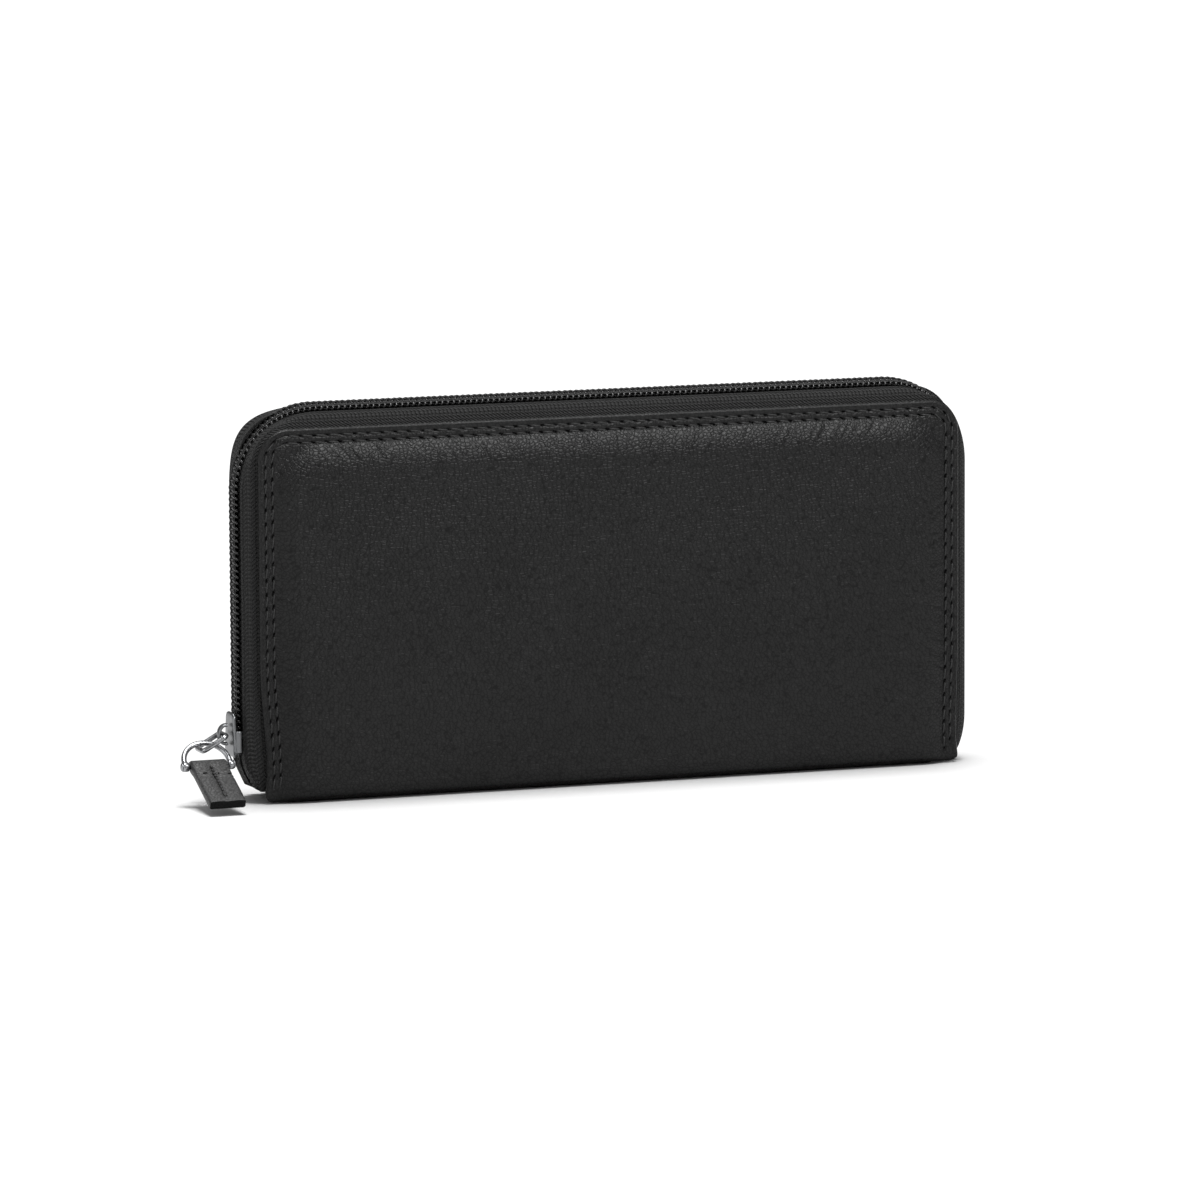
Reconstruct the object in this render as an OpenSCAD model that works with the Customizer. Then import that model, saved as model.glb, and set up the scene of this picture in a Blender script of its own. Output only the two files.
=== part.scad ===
// Zip-around long wallet, standing closed on its leather spine.
// X runs along the length, the front cover faces -Y, Z is up, all sizes in mm.

/* [Covers] */
// Width of the leather covers, side to side
cover_w = 186; // [178:1:196]
// Height of the covers above the table
cover_h = 93; // [88:1:99]
// Thickness of the closed wallet through both padded covers
depth = 22; // [21.6:0.2:25]
// Height of the padded field above the stitched rim
pad_rise = 2; // [1:0.1:2.4]
// Radius of the upper corners of the covers
cover_r = 8; // [6:0.5:10]
// Radius of the lower corners of the covers
foot_r = 3.5; // [2:0.5:5]
// Thickness of the outer leather
leather_t = 1.2; // [1:0.1:1.3]
// Width of the stitched rim around the padded field
rim_w = 6; // [5.5:0.5:8]
// Run of the slope between the rim and the padded field
pad_slope = 5; // [3:0.5:7]
// Thickness of the spine leather
spine_t = 1.4; // [1.2:0.1:1.8]

/* [Stitching] */
// Distance of the outer stitch row from the cover edge
row_a = 1.9; // [1.5:0.1:2.2]
// Distance of the inner stitch row from the cover edge
row_b = 4; // [3.6:0.1:4.6]
// Thickness of the sewing thread
thread_t = 0.5; // [0.3:0.1:0.7]

/* [Zip] */
// Outer face of the tape beyond the cover edge, at the sides
zip_side = 3; // [2.4:0.1:3.6]
// Outer face of the tape beyond the cover edge, at the top
zip_top = 4.2; // [3:0.1:5.5]
// Corner radius of the tape where it carries the coil
zip_r = 20; // [14:1:24]
// Thickness of the woven tape
tape_t = 0.5; // [0.4:0.1:0.6]
// Width of the tape sewn under the cover
flange_w = 7; // [6.5:0.5:9]
// Height where the tape ends, above the table
tape_z = 12; // [10:0.5:14]
// Pitch of the coil
pitch = 1.5; // [1.4:0.1:2]
// Height of the coil above the tape
coil_h = 1.3; // [1:0.1:1.5]

/* [Slider and pull] */
// Height of the slider bridge bar above the table
bar_z = 16.8; // [16.6:0.1:19]
// Length of the slider body
slider_l = 11; // [10:0.5:12]
// Width of the slider body
slider_w = 8.4; // [7.6:0.2:8.8]
// Length of the wire link between its bars
link_l = 7; // [6.8:0.1:7.6]
// Radius of the ring arch
ring_r = 5.8; // [5.6:0.1:5.9]
// Width of the leather pull tab
tab_w = 9.2; // [7.6:0.2:9.4]
// Length of the leather pull tab from its pin
tab_l = 18; // [14:0.5:18]
// Thickness of the folded leather pull tab
tab_t = 3; // [2.8:0.1:3.2]

/* [Inside] */
// Thickness of the lining
lining_t = 0.6; // [0.5:0.1:0.7]
// Clear width of each note compartment
note_gap = 1.1; // [0.8:0.1:1.2]
// Thickness of a card panel
panel_t = 0.5; // [0.4:0.05:0.55]
// Thickness of one card pocket
pocket_t = 0.45; // [0.35:0.05:0.45]
// Height of the lowest pocket mouth
mouth_z = 32; // [28:1:34]
// Step from one pocket mouth to the next
mouth_step = 11; // [9:0.5:11]
// Thickness of the coin pocket
coin_t = 3.8; // [3.6:0.1:3.9]
// Thickness of one coin pocket wall
coin_wall_t = 0.8; // [0.6:0.1:0.8]
// Pitch of the coin pocket coil
coin_pitch = 2; // [1.8:0.1:3]

/* [Hidden] */
$fn = 48;
eps = 0.01;
half_w = cover_w / 2;
rim_y = depth / 2 - pad_rise;
rim_in = rim_y - leather_t;
tape_in = rim_in - tape_t;
lining_in = tape_in - lining_t;
panel_out = lining_in - note_gap;
panel_in = panel_out - panel_t;
pockets = 4;
stack_in = panel_in - pockets * pocket_t;
coin_out = coin_t / 2;
coin_in = coin_out - coin_wall_t;
panel_hw = half_w - 5;
panel_z = 4;
panel_top = 68;

pad_hw = half_w - rim_w - leather_t;
pad_z0 = spine_t + leather_t;
pad_z1 = cover_h - rim_w - leather_t;
pad_foot = 1;
pad_gap = 0.05;
lining_inset = 1.5;
binding_w = 2;

tape_edge = 1.5;
tape_bend = 4.6;
bend_n = 5;
arc_n = 8;
tape_hw = half_w + zip_side;
tape_top = cover_h + zip_top;
tooth_l = 0.62;
tooth_out = 2.6;
tooth_tip = 0.8;
run_gap = 0.6;
stop_l = 2.5;
stop_z = tape_z + run_gap;
slider_z = bar_z - slider_l / 2;
coil_z = slider_z + slider_l + run_gap;

plate_t = 0.9;
plate_cut = 0.9;
slot_gap = 0.35;
wedge_w = 1.1;
wedge_l = 3;
lip_t = 0.7;
lip_h = 0.6;
plate_in = tape_hw + coil_h + slot_gap;
plate_out = plate_in + plate_t;
inner_in = tape_hw - tape_t - slot_gap;
bridge_w = 2.2;
bridge_l = 5.2;
bar_rise = 1.5;
bar_x = plate_out + bar_rise;
bridge_r = 2;
link_r = 0.65;
link_bar = 1.9;
link_bend = 1;
link_leg = link_bar + link_bend;
link_tilt = 60;
ring_wire = 0.7;
ring_leg = 1.2;
ring_tilt = 45;
link_play = 0.3;
ring_shift = 0.5;
apex_x = ring_shift - bar_x - link_l * sin(link_tilt);
apex_z = bar_z - link_l * cos(link_tilt) + link_r + ring_wire + link_play;
pin_y = -(ring_r + ring_leg) * sin(ring_tilt);
pin_z = apex_z - (ring_r + ring_leg) * cos(ring_tilt);
pin_r = 0.7;
pin_gap = 0.3;
head_r = 1.1;
foot_len = 1.6;
foot_wall = 1.25;
head_l = 0.4;
tab_drop = 24;

coin_z = 6;
coin_top = 82;
coin_hw = panel_hw - 1;
coin_seam = 2;
coin_zip_z = 75;
coin_tape_w = 7;
coin_tape_gap = 1;
coin_mouth = 3;
coin_tooth = 1.8;
coin_tip = 0.6;
coin_stop_l = 1.5;
coin_wedge_l = 2;
coin_bridge_l = 3.2;
coin_bridge_w = 2;
coin_pull_t = 0.8;
coin_pull_w = 4.4;
coin_pull_l = 16;
coin_pull_arm = 0.9;
coin_pull_eye = 2.6;
coin_pull_r = coin_pull_t / 2;
coin_pull_gap = 0.15;
coin_zip_inset = 6;
coin_zip_hw = coin_hw - coin_zip_inset;
coin_coil_h = 1;
coin_slider_l = 8;
coin_slider_w = 6.4;
coin_slider_start = 6;
coin_slider_x = -coin_zip_hw + coin_slider_start;
coin_plate_t = 0.6;
coin_gap = 0.3;
bead_r = 0.4;
spine_lining_t = 0.6;

// Node to draw, or all of them

// Flat piece of the front half: a drawing in X and Z between two distances from the middle
module slab(y_in, y_out) {
  translate([0, -y_in, 0]) rotate([90, 0, 0]) linear_extrude(y_out - y_in) children();
}

// The front half is drawn, the back half is its mirror image
module back() {
  mirror([0, 1, 0]) children();
}

// Upright rectangle with rounded upper corners and lower corners
module panel_2d(hw, z0, z1, rt, rb) {
  translate([-hw, z0 + rb]) square([2 * hw, z1 - rt - z0 - rb]);
  translate([-hw + rt, z1 - rt - eps]) square([2 * (hw - rt), rt + eps]);
  translate([-hw + rb, z0]) square([2 * (hw - rb), rb + eps]);
  for (s = [-1, 1]) {
    translate([s * (hw - rt), z1 - rt]) circle(r = rt);
    translate([s * (hw - rb), z0 + rb]) circle(r = rb);
  }
}

// Outline of a cover, drawn in from its edge
module cover_2d(inset, z0) {
  panel_2d(half_w - inset, z0, cover_h - inset, max(cover_r - inset, 1), foot_r);
}

// Padded field with sloped sides
module field(hw, z0, z1, y_in, y_out, low) {
  intersection() {
    translate([0, 0, z0]) linear_extrude(z1 - z0)
      polygon([[-hw, -y_in], [hw, -y_in], [hw - pad_slope, -y_out], [pad_slope - hw, -y_out]]);
    translate([-hw, 0, 0]) rotate([90, 0, 90]) linear_extrude(2 * hw)
      polygon([[-y_in, z0], [-y_out, z0 + low], [-y_out, z1 - pad_slope], [-y_in, z1]]);
  }
}

// Room for the foam between the leather and the board, drawn in by a gap
module pad_room(gap) {
  field(pad_hw - gap, pad_z0 + gap, pad_z1 - gap, rim_in, depth / 2 - leather_t - gap, pad_foot);
}

module pad() {
  pad_room(pad_gap);
}

module cover() {
  difference() {
    union() {
      slab(rim_in, rim_y) cover_2d(0, spine_t);
      field(half_w - rim_w, spine_t, cover_h - rim_w, rim_y - eps, depth / 2, 2 * pad_foot);
    }
    pad_room(0);
    box(-pad_hw, pad_hw, -rim_in - eps, leather_t - rim_in, pad_z0, pad_z1);
  }
}

module board() {
  slab(tape_in, rim_in) translate([-half_w + flange_w, spine_t])
    square([cover_w - 2 * flange_w, cover_h - flange_w - spine_t]);
}

module lining() {
  slab(lining_in, tape_in) cover_2d(lining_inset, spine_t);
}

// One sewn row: a thin thread line up one side, over the top and down the other
module stitch_row(inset) {
  slab(rim_y, rim_y + thread_t / 2) difference() {
    cover_2d(inset - thread_t / 2, spine_t + foot_r);
    cover_2d(inset + thread_t / 2, 0);
    translate([-half_w, 0]) square([cover_w, spine_t + 3 * foot_r]);
  }
}

module stitching() {
  stitch_row(row_a);
  stitch_row(row_b);
}

// Tape section: [side offset, top offset, corner radius, distance from the middle]
function bend_point(k, s, y) =
  [k * (zip_side - s), k * (zip_top - s), cover_r + k * (zip_r - cover_r - s), y];
flange_r = max(cover_r - flange_w, 1);
tape_section = concat(
  [[-flange_w, -flange_w, flange_r, rim_in]],
  [for (i = [0 : bend_n]) let (t = 90 - 90 * i / bend_n)
    bend_point(cos(t), 0, tape_bend + (rim_in - tape_bend) * sin(t))],
  [bend_point(1, 0, tape_edge), bend_point(1, tape_t, tape_edge)],
  [for (i = [0 : bend_n]) let (t = 90 * i / bend_n)
    bend_point(cos(t), tape_t, tape_bend + (tape_in - tape_bend) * sin(t))],
  [[-flange_w, -flange_w, flange_r, tape_in]]);

// Points of one section corner along the whole tape, from the left end to the right end
function tape_line(p) = let (hw = half_w + p[0], top = cover_h + p[1], r = p[2]) concat(
  [[-hw, -p[3], tape_z]],
  [for (i = [0 : arc_n]) let (a = 180 - 90 * i / arc_n)
    [-hw + r + r * cos(a), -p[3], top - r + r * sin(a)]],
  [for (i = [0 : arc_n]) let (a = 90 - 90 * i / arc_n)
    [hw - r + r * cos(a), -p[3], top - r + r * sin(a)]],
  [[hw, -p[3], tape_z]]);
tape_n = 2 * arc_n + 4;
section_n = len(tape_section);

module zip_tape() {
  lines = [for (p = tape_section) tape_line(p)];
  points = [for (l = lines) for (p = l) p];
  skin = [for (j = [0 : section_n - 1]) for (i = [0 : tape_n - 2])
    let (a = j * tape_n + i, b = ((j + 1) % section_n) * tape_n + i)
    for (f = [[a, a + 1, b], [a + 1, b + 1, b]]) f];
  first = [for (j = [0 : section_n - 1]) j * tape_n];
  last = [for (j = [0 : section_n - 1]) (section_n - 1 - j) * tape_n + tape_n - 1];
  polyhedron(points, concat(skin, [first, last]), convexity = 6);
}

// Place on the outer face of the tape at a distance along it: [x, z, outward angle]
run_l = tape_top - zip_r - coil_z;
bend_l = PI * zip_r / 2;
over_l = 2 * (tape_hw - zip_r);
run_r = tape_top - zip_r - stop_z - stop_l - run_gap;
coil_l = run_l + 2 * bend_l + over_l + run_r;
function arc_at(side, a) =
  [side * (tape_hw - zip_r) + zip_r * cos(a), tape_top - zip_r + zip_r * sin(a), a];
function coil_at(s) =
  s < run_l ? [-tape_hw, coil_z + s, 180] :
  s < run_l + bend_l ? arc_at(-1, 180 - 90 * (s - run_l) / bend_l) :
  s < run_l + bend_l + over_l ? [-tape_hw + zip_r + s - run_l - bend_l, tape_top, 90] :
  s < run_l + 2 * bend_l + over_l ? arc_at(1, 90 - 90 * (s - run_l - bend_l - over_l) / bend_l) :
  [tape_hw, tape_top - zip_r - (s - run_l - 2 * bend_l - over_l), 0];

// One half of the coil: its loops seen as separate teeth on the tape
module zip_coil(start) {
  for (s = [start : pitch : coil_l]) let (p = coil_at(s))
    translate([p[0], 0, p[1]]) rotate([0, -p[2], 0])
      translate([0, -tooth_out, -tooth_l / 2]) cube([coil_h, tooth_out + tooth_tip, tooth_l]);
}

// Strip that joins a card panel to the lining at its sides and foot
module note_binding() {
  slab(panel_out, lining_in) difference() {
    translate([-panel_hw, panel_z]) square([2 * panel_hw, panel_top - panel_z]);
    translate([-panel_hw + binding_w, panel_z + binding_w])
      square([2 * (panel_hw - binding_w), panel_top]);
  }
}

module card_panel() {
  slab(panel_in, panel_out) translate([-panel_hw, panel_z])
    square([2 * panel_hw, panel_top - panel_z]);
}

// Stepped pocket panel, number 1 is the tallest and lies against the card panel
module card_pocket(n) {
  slab(panel_in - n * pocket_t, panel_in - (n - 1) * pocket_t) translate([-panel_hw, panel_z])
    square([2 * panel_hw, mouth_z + (pockets - n) * mouth_step - panel_z]);
}

// Folded gusset between the pockets and the coin pocket, at one end
gusset_d = 12;
gusset_t = 0.35;
gusset_z0 = coin_z + coin_seam;
gusset_z1 = panel_top - coin_seam;
module gusset(side) {
  x_out = side * coin_hw;
  x_in = side * (coin_hw - gusset_d);
  x_fold = side * (coin_hw - gusset_d + gusset_t);
  translate([0, 0, gusset_z0]) linear_extrude(gusset_z1 - gusset_z0)
    polygon([[x_out, -stack_in], [x_in, -stack_in], [x_in, -coin_out], [x_out, -coin_out],
      [x_out, -coin_out - gusset_t], [x_fold, -coin_out - gusset_t],
      [x_fold, -stack_in + gusset_t], [x_out, -stack_in + gusset_t]]);
}

module box(x0, x1, y0, y1, z0, z1) {
  translate([x0, y0, z0]) cube([x1 - x0, y1 - y0, z1 - z0]);
}

module spine_strip() {
  color("#1c1c1d") box(-half_w + foot_r, half_w - foot_r, -rim_y, rim_y, 0, spine_t);
}

module spine_lining() {
  color("#2b2a2c") box(-panel_hw, panel_hw, -lining_in, lining_in, spine_t, spine_t + spine_lining_t);
}

module back_cover() { color("#1d1d1e") back() cover(); }
module back_pad() { color("#4a4a4c") back() pad(); }
module back_board() { color("#8b7d68") back() board(); }
module back_lining() { color("#2b2a2c") back() lining(); }
module back_stitching() { color("#0c0c0d") back() stitching(); }
module back_zip_tape() { color("#242425") back() zip_tape(); }
module back_zip_coil() { color("#141415") back() zip_coil(pitch); }
module back_note_binding() { color("#232324") back() note_binding(); }
module back_card_panel() { color("#262627") back() card_panel(); }
module back_card_pocket_1() { color("#1f1f20") back() card_pocket(1); }
module back_card_pocket_2() { color("#1f1f20") back() card_pocket(2); }
module back_card_pocket_3() { color("#1f1f20") back() card_pocket(3); }
module back_card_pocket_4() { color("#1f1f20") back() card_pocket(4); }
module back_gusset_left() { color("#2e2d2f") back() gusset(-1); }
module back_gusset_right() { color("#2e2d2f") back() gusset(1); }

module front_cover() { color("#1d1d1e") cover(); }
module front_pad() { color("#4a4a4c") pad(); }
module front_board() { color("#8b7d68") board(); }
module front_lining() { color("#2b2a2c") lining(); }
module front_stitching() { color("#0c0c0d") stitching(); }
module front_zip_tape() { color("#242425") zip_tape(); }
module front_zip_coil() { color("#141415") zip_coil(pitch / 2); }
module front_note_binding() { color("#232324") note_binding(); }
module front_card_panel() { color("#262627") card_panel(); }
module front_card_pocket_1() { color("#1f1f20") card_pocket(1); }
module front_card_pocket_2() { color("#1f1f20") card_pocket(2); }
module front_card_pocket_3() { color("#1f1f20") card_pocket(3); }
module front_card_pocket_4() { color("#1f1f20") card_pocket(4); }
module front_gusset_left() { color("#2e2d2f") gusset(-1); }
module front_gusset_right() { color("#2e2d2f") gusset(1); }

// Clip over both tapes at the right end of the zip
module zip_end_stop() {
  color("#b9bbbd") box(tape_hw, tape_hw + coil_h, -tooth_out, tooth_out, stop_z, stop_z + stop_l);
}

// Bead and strip on which the coin pocket turns
module coin_hinge_strip() {
  bead_z = spine_t + spine_lining_t + bead_r;
  color("#232324") union() {
    translate([-coin_hw, 0, bead_z]) rotate([0, 90, 0]) cylinder(r = bead_r, h = 2 * coin_hw);
    box(-coin_hw, coin_hw, -bead_r / 2, bead_r / 2, bead_z, coin_z);
  }
}

module coin_back_wall() {
  color("#262627") box(-coin_hw, coin_hw, coin_in, coin_out, coin_z, coin_top);
}

module coin_front_wall() {
  color("#262627") box(-coin_hw, coin_hw, -coin_out, -coin_in, coin_z, coin_zip_z - coin_mouth);
}

module coin_front_strip() {
  color("#262627") box(-coin_hw, coin_hw, -coin_out, -coin_in, coin_zip_z + coin_mouth, coin_top);
}

// Seam allowance that joins the two coin pocket walls all round
module coin_binding() {
  color("#232324") difference() {
    box(-coin_hw, coin_hw, -coin_in, coin_in, coin_z, coin_top);
    box(-coin_hw + coin_seam, coin_hw - coin_seam, -coin_t, coin_t, coin_z + coin_seam, coin_top - coin_tape_gap);
  }
}

// Half of the coin pocket zip tape, below or above the coil
module coin_tape(z0, z1) {
  box(-coin_hw + coin_seam, coin_hw - coin_seam, -coin_in, -coin_in + tape_t, z0, z1);
}

module coin_tape_lower() {
  color("#242425") coin_tape(coin_zip_z - coin_tape_gap - coin_tape_w, coin_zip_z - coin_tape_gap);
}

module coin_tape_upper() {
  color("#242425") coin_tape(coin_zip_z + coin_tape_gap, coin_top - coin_tape_gap);
}

// Half of the coin pocket coil, to the right of its slider
module coin_coil(start, z0, z1) {
  x0 = coin_slider_x + coin_slider_l / 2 + run_gap;
  for (x = [x0 + start : coin_pitch : coin_zip_hw])
    box(x, x + tooth_l, -coin_in - coin_coil_h, -coin_in, z0, z1);
}

module coin_coil_lower() {
  color("#141415") coin_coil(0, coin_zip_z - coin_tooth, coin_zip_z + coin_tip);
}

module coin_coil_upper() {
  color("#141415") coin_coil(coin_pitch / 2, coin_zip_z - coin_tip, coin_zip_z + coin_tooth);
}

module coin_zip_stops() {
  color("#b9bbbd") for (s = [-1, 1])
    translate([s * (coin_zip_hw + coin_stop_l) - coin_stop_l / 2, -coin_in - coin_coil_h,
      coin_zip_z - coin_tooth]) cube([coin_stop_l, coin_coil_h, 2 * coin_tooth]);
}

// Small slider: two plates and the wedge between them
module coin_slider() {
  x0 = coin_slider_x - coin_slider_l / 2;
  x1 = coin_slider_x + coin_slider_l / 2;
  y_out = -coin_in - coin_coil_h - coin_gap;
  y_in = -coin_in + tape_t + coin_gap;
  hw = coin_slider_w / 2;
  color("#c3c5c8") difference() {
    union() {
      box(x0, x1, y_out - coin_plate_t, y_out, coin_zip_z - hw, coin_zip_z + hw);
      box(x0, x1, y_in, y_in + coin_plate_t, coin_zip_z - hw, coin_zip_z + hw);
      box(x0, x0 + coin_wedge_l, y_out - eps, y_in + eps, coin_zip_z - coin_tip, coin_zip_z + coin_tip);
      box(coin_slider_x - coin_bridge_l / 2, coin_slider_x + coin_bridge_l / 2,
        coin_pull_y - 2 * coin_pull_r - coin_pull_gap, y_out - eps,
        coin_zip_z - coin_bridge_w / 2, coin_zip_z + coin_bridge_w / 2);
    }
    translate([coin_slider_x, coin_pull_y, coin_zip_z - coin_slider_w])
      cylinder(r = coin_pull_r + coin_pull_gap, h = 2 * coin_slider_w);
  }
}

// Stamped pull of the coin pocket, lying along its zip
coin_pull_y = -coin_in - coin_coil_h - coin_gap - coin_plate_t - coin_pull_r - 2 * coin_pull_gap;
module coin_pull() {
  hw = coin_pull_w / 2;
  color("#c3c5c8") translate([coin_slider_x, coin_pull_y, coin_zip_z]) {
    translate([0, 0, -hw]) cylinder(r = coin_pull_r, h = coin_pull_w);
    for (z = [-hw, hw - coin_pull_arm])
      translate([0, -coin_pull_r, z]) cube([coin_pull_eye + coin_pull_r, coin_pull_t, coin_pull_arm]);
    translate([coin_pull_eye, -coin_pull_r, -hw]) cube([coin_pull_l - coin_pull_eye, coin_pull_t, coin_pull_w]);
  }
}

// Slider plate outline in Y and Z, narrow at the closed end and wide at the open end
module plate_2d() {
  hw = slider_w / 2;
  polygon([[-hw, plate_cut], [plate_cut - hw, 0], [hw - plate_cut, 0], [hw, plate_cut],
    [hw, slider_l / 2], [hw - plate_cut, slider_l], [plate_cut - hw, slider_l], [-hw, slider_l / 2]]);
}

// Plate lying in Y and Z between two distances from the wallet's middle, at its left end
module side_plate(x_in, x_out) {
  translate([-x_out, 0, slider_z]) rotate([90, 0, 90]) linear_extrude(x_out - x_in) children();
}

module zip_slider() {
  color("#c9cbcd") difference() {
    union() {
      side_plate(plate_in, plate_out) plate_2d();
      side_plate(inner_in - plate_t, inner_in) plate_2d();
      side_plate(inner_in - eps, plate_in + eps)
        polygon([[-wedge_w, wedge_l / 2], [0, 0], [wedge_w, wedge_l / 2], [wedge_w / 2, wedge_l],
          [-wedge_w / 2, wedge_l]]);
      for (s = [-1, 1]) side_plate(plate_in - lip_h, plate_in + eps)
        translate([s * (slider_w - lip_t) / 2 - lip_t / 2, plate_cut])
          square([lip_t, slider_l / 2 - plate_cut]);
      translate([0, bridge_w / 2, 0]) rotate([90, 0, 0]) linear_extrude(bridge_w) {
        translate([-bar_x, bar_z - bridge_l / 2]) square([bar_x - plate_out + eps, bridge_l]);
        translate([-bar_x, bar_z]) circle(r = bridge_r);
      }
    }
    translate([-bar_x, slider_w, bar_z]) rotate([90, 0, 0]) cylinder(r = link_r + slot_gap, h = 2 * slider_w);
  }
}

// Quarter bend of round wire, in Y and Z
module wire_bend(r, wire) {
  rotate([0, -90, 0]) rotate_extrude(angle = 90) translate([r, 0]) circle(r = wire);
}

module rod_y(y0, y1, wire) {
  translate([0, y0, 0]) rotate([-90, 0, 0]) cylinder(r = wire, h = y1 - y0);
}

module pull_link() {
  color("#c9cbcd") translate([-bar_x, 0, bar_z]) rotate([0, link_tilt, 0]) union() {
    rod_y(-link_bar, link_bar, link_r);
    translate([0, 0, -link_l]) rod_y(-link_bar, link_bar, link_r);
    for (s = [0, 1]) mirror([0, s, 0]) {
      translate([0, link_leg, -link_l + link_bend]) cylinder(r = link_r, h = link_l - 2 * link_bend);
      translate([0, link_bar, -link_bend]) wire_bend(link_bend, link_r);
      translate([0, link_bar, -link_l + link_bend]) mirror([0, 0, 1]) wire_bend(link_bend, link_r);
    }
  }
}

module at_pin() {
  translate([apex_x, pin_y, pin_z]) children();
}

module rod_x(x0, x1, r) {
  translate([x0, 0, 0]) rotate([0, 90, 0]) cylinder(r = r, h = x1 - x0);
}

// Horseshoe ring with round feet
module pull_ring() {
  color("#c9cbcd") at_pin() rotate([-ring_tilt, 0, 0]) difference() {
    union() {
      translate([0, 0, ring_leg]) rotate([90, 0, 0])
        rotate_extrude(angle = 180) translate([ring_r, 0]) circle(r = ring_wire);
      for (s = [-1, 1]) translate([s * ring_r, 0, 0]) {
        cylinder(r = ring_wire, h = ring_leg);
        rod_x(-foot_len / 2, foot_len / 2, foot_wall);
      }
    }
    rod_x(-2 * ring_r, 2 * ring_r, pin_r);
  }
}

module pull_pin() {
  x_end = ring_r + foot_len / 2;
  color("#b9bbbd") at_pin() union() {
    rod_x(-x_end, x_end, pin_r);
    rod_x(-x_end - head_l, -x_end, head_r);
    rod_x(x_end, x_end + head_l, head_r);
  }
}

// Leather folded round the pin and sewn flat
module pull_tab() {
  color("#2a2a2b") at_pin() rotate([tab_drop, 0, 0]) difference() {
    union() {
      rod_x(-tab_w / 2, tab_w / 2, tab_t / 2);
      box(-tab_w / 2, tab_w / 2, -tab_l, 0, -tab_t / 2, tab_t / 2);
    }
    rod_x(-tab_w, tab_w, pin_r + pin_gap);
  }
}

module pull_tab_stitch() {
  color("#0c0c0d") at_pin() rotate([tab_drop, 0, 0])
    box(-thread_t / 2, thread_t / 2, tab_t / 2 - tab_l, -tab_t, tab_t / 2, (tab_t + thread_t) / 2);
}

spine_strip();
spine_lining();
back_cover();
back_pad();
back_board();
back_lining();
back_stitching();
back_zip_tape();
back_zip_coil();
back_note_binding();
back_card_panel();
back_card_pocket_1();
back_card_pocket_2();
back_card_pocket_3();
back_card_pocket_4();
back_gusset_left();
back_gusset_right();
zip_end_stop();
front_cover();
front_pad();
front_board();
front_lining();
front_stitching();
front_zip_tape();
front_zip_coil();
front_note_binding();
front_card_panel();
front_card_pocket_1();
front_card_pocket_2();
front_card_pocket_3();
front_card_pocket_4();
front_gusset_left();
front_gusset_right();
coin_hinge_strip();
coin_back_wall();
coin_front_wall();
coin_front_strip();
coin_binding();
coin_tape_lower();
coin_tape_upper();
coin_coil_lower();
coin_coil_upper();
coin_zip_stops();
coin_slider();
coin_pull();
zip_slider();
pull_link();
pull_ring();
pull_pin();
pull_tab();
pull_tab_stitch();
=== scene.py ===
from math import cos, exp, pi, radians, sin, sqrt

import bmesh
import bpy
import numpy as np
from mathutils import Matrix, Vector


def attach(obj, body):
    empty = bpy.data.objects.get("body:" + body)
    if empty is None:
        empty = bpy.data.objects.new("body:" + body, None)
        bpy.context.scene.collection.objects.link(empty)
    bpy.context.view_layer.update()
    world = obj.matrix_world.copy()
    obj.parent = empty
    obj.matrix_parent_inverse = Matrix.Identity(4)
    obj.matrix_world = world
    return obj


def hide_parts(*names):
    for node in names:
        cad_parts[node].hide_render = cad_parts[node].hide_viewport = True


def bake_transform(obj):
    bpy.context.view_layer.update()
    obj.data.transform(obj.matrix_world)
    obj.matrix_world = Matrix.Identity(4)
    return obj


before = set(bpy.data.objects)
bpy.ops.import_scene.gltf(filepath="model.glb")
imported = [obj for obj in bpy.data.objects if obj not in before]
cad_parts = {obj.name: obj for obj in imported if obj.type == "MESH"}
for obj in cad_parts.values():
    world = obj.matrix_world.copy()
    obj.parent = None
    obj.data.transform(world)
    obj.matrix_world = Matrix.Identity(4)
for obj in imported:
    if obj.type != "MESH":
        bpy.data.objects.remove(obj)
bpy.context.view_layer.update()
MM = 0.001

# Sizes of the CAD part, in millimetres
HALF_W, COVER_H, DEPTH = 93.0, 93.0, 22.0
PAD_RISE, LEATHER_T, COVER_R = 2.0, 1.2, 8.0
RIM_Y = DEPTH / 2 - PAD_RISE
RIM_IN = RIM_Y - LEATHER_T
TAPE_T, TAPE_Z = 0.5, 12.0
ZIP_SIDE, ZIP_TOP, ZIP_R = 3.0, 4.2, 20.0
TAPE_EDGE = 0.9
PITCH, COIL_H = 1.5, 1.3
TAPE_IN = RIM_IN - TAPE_T
LINING_IN = TAPE_IN - 0.6
ROWS = (1.85, 3.6)
STITCH_PITCH = 3.5
BAR_Z = 16.8


# Materials
def material(name):
    """A new material and its surface shader."""
    m = bpy.data.materials.new(name)
    m.use_nodes = True
    return m, m.node_tree.nodes["Principled BSDF"]


def make_node(near, kind, **settings):
    """A new shader node in the tree that another node or socket belongs to."""
    n = near.id_data.nodes.new("ShaderNode" + kind)
    for k, v in settings.items():
        setattr(n, k, v)
    return n


def feed(node, values):
    """Fixed values, or sockets that give them, for inputs of a node."""
    for k, v in values.items():
        if isinstance(v, bpy.types.NodeSocket):
            node.id_data.links.new(v, node.inputs[k])
        else:
            node.inputs[k].default_value = v


def calc(kind, operation, *values):
    """Result of a calculation on sockets and fixed values, of which the first is a socket."""
    n = make_node(values[0], kind, operation=operation)
    feed(n, dict(enumerate(values)))
    return n.outputs[0]


def coords(p, which="Object"):
    """Coordinates of the piece that has the material."""
    return make_node(p, "TexCoord").outputs[which]


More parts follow.
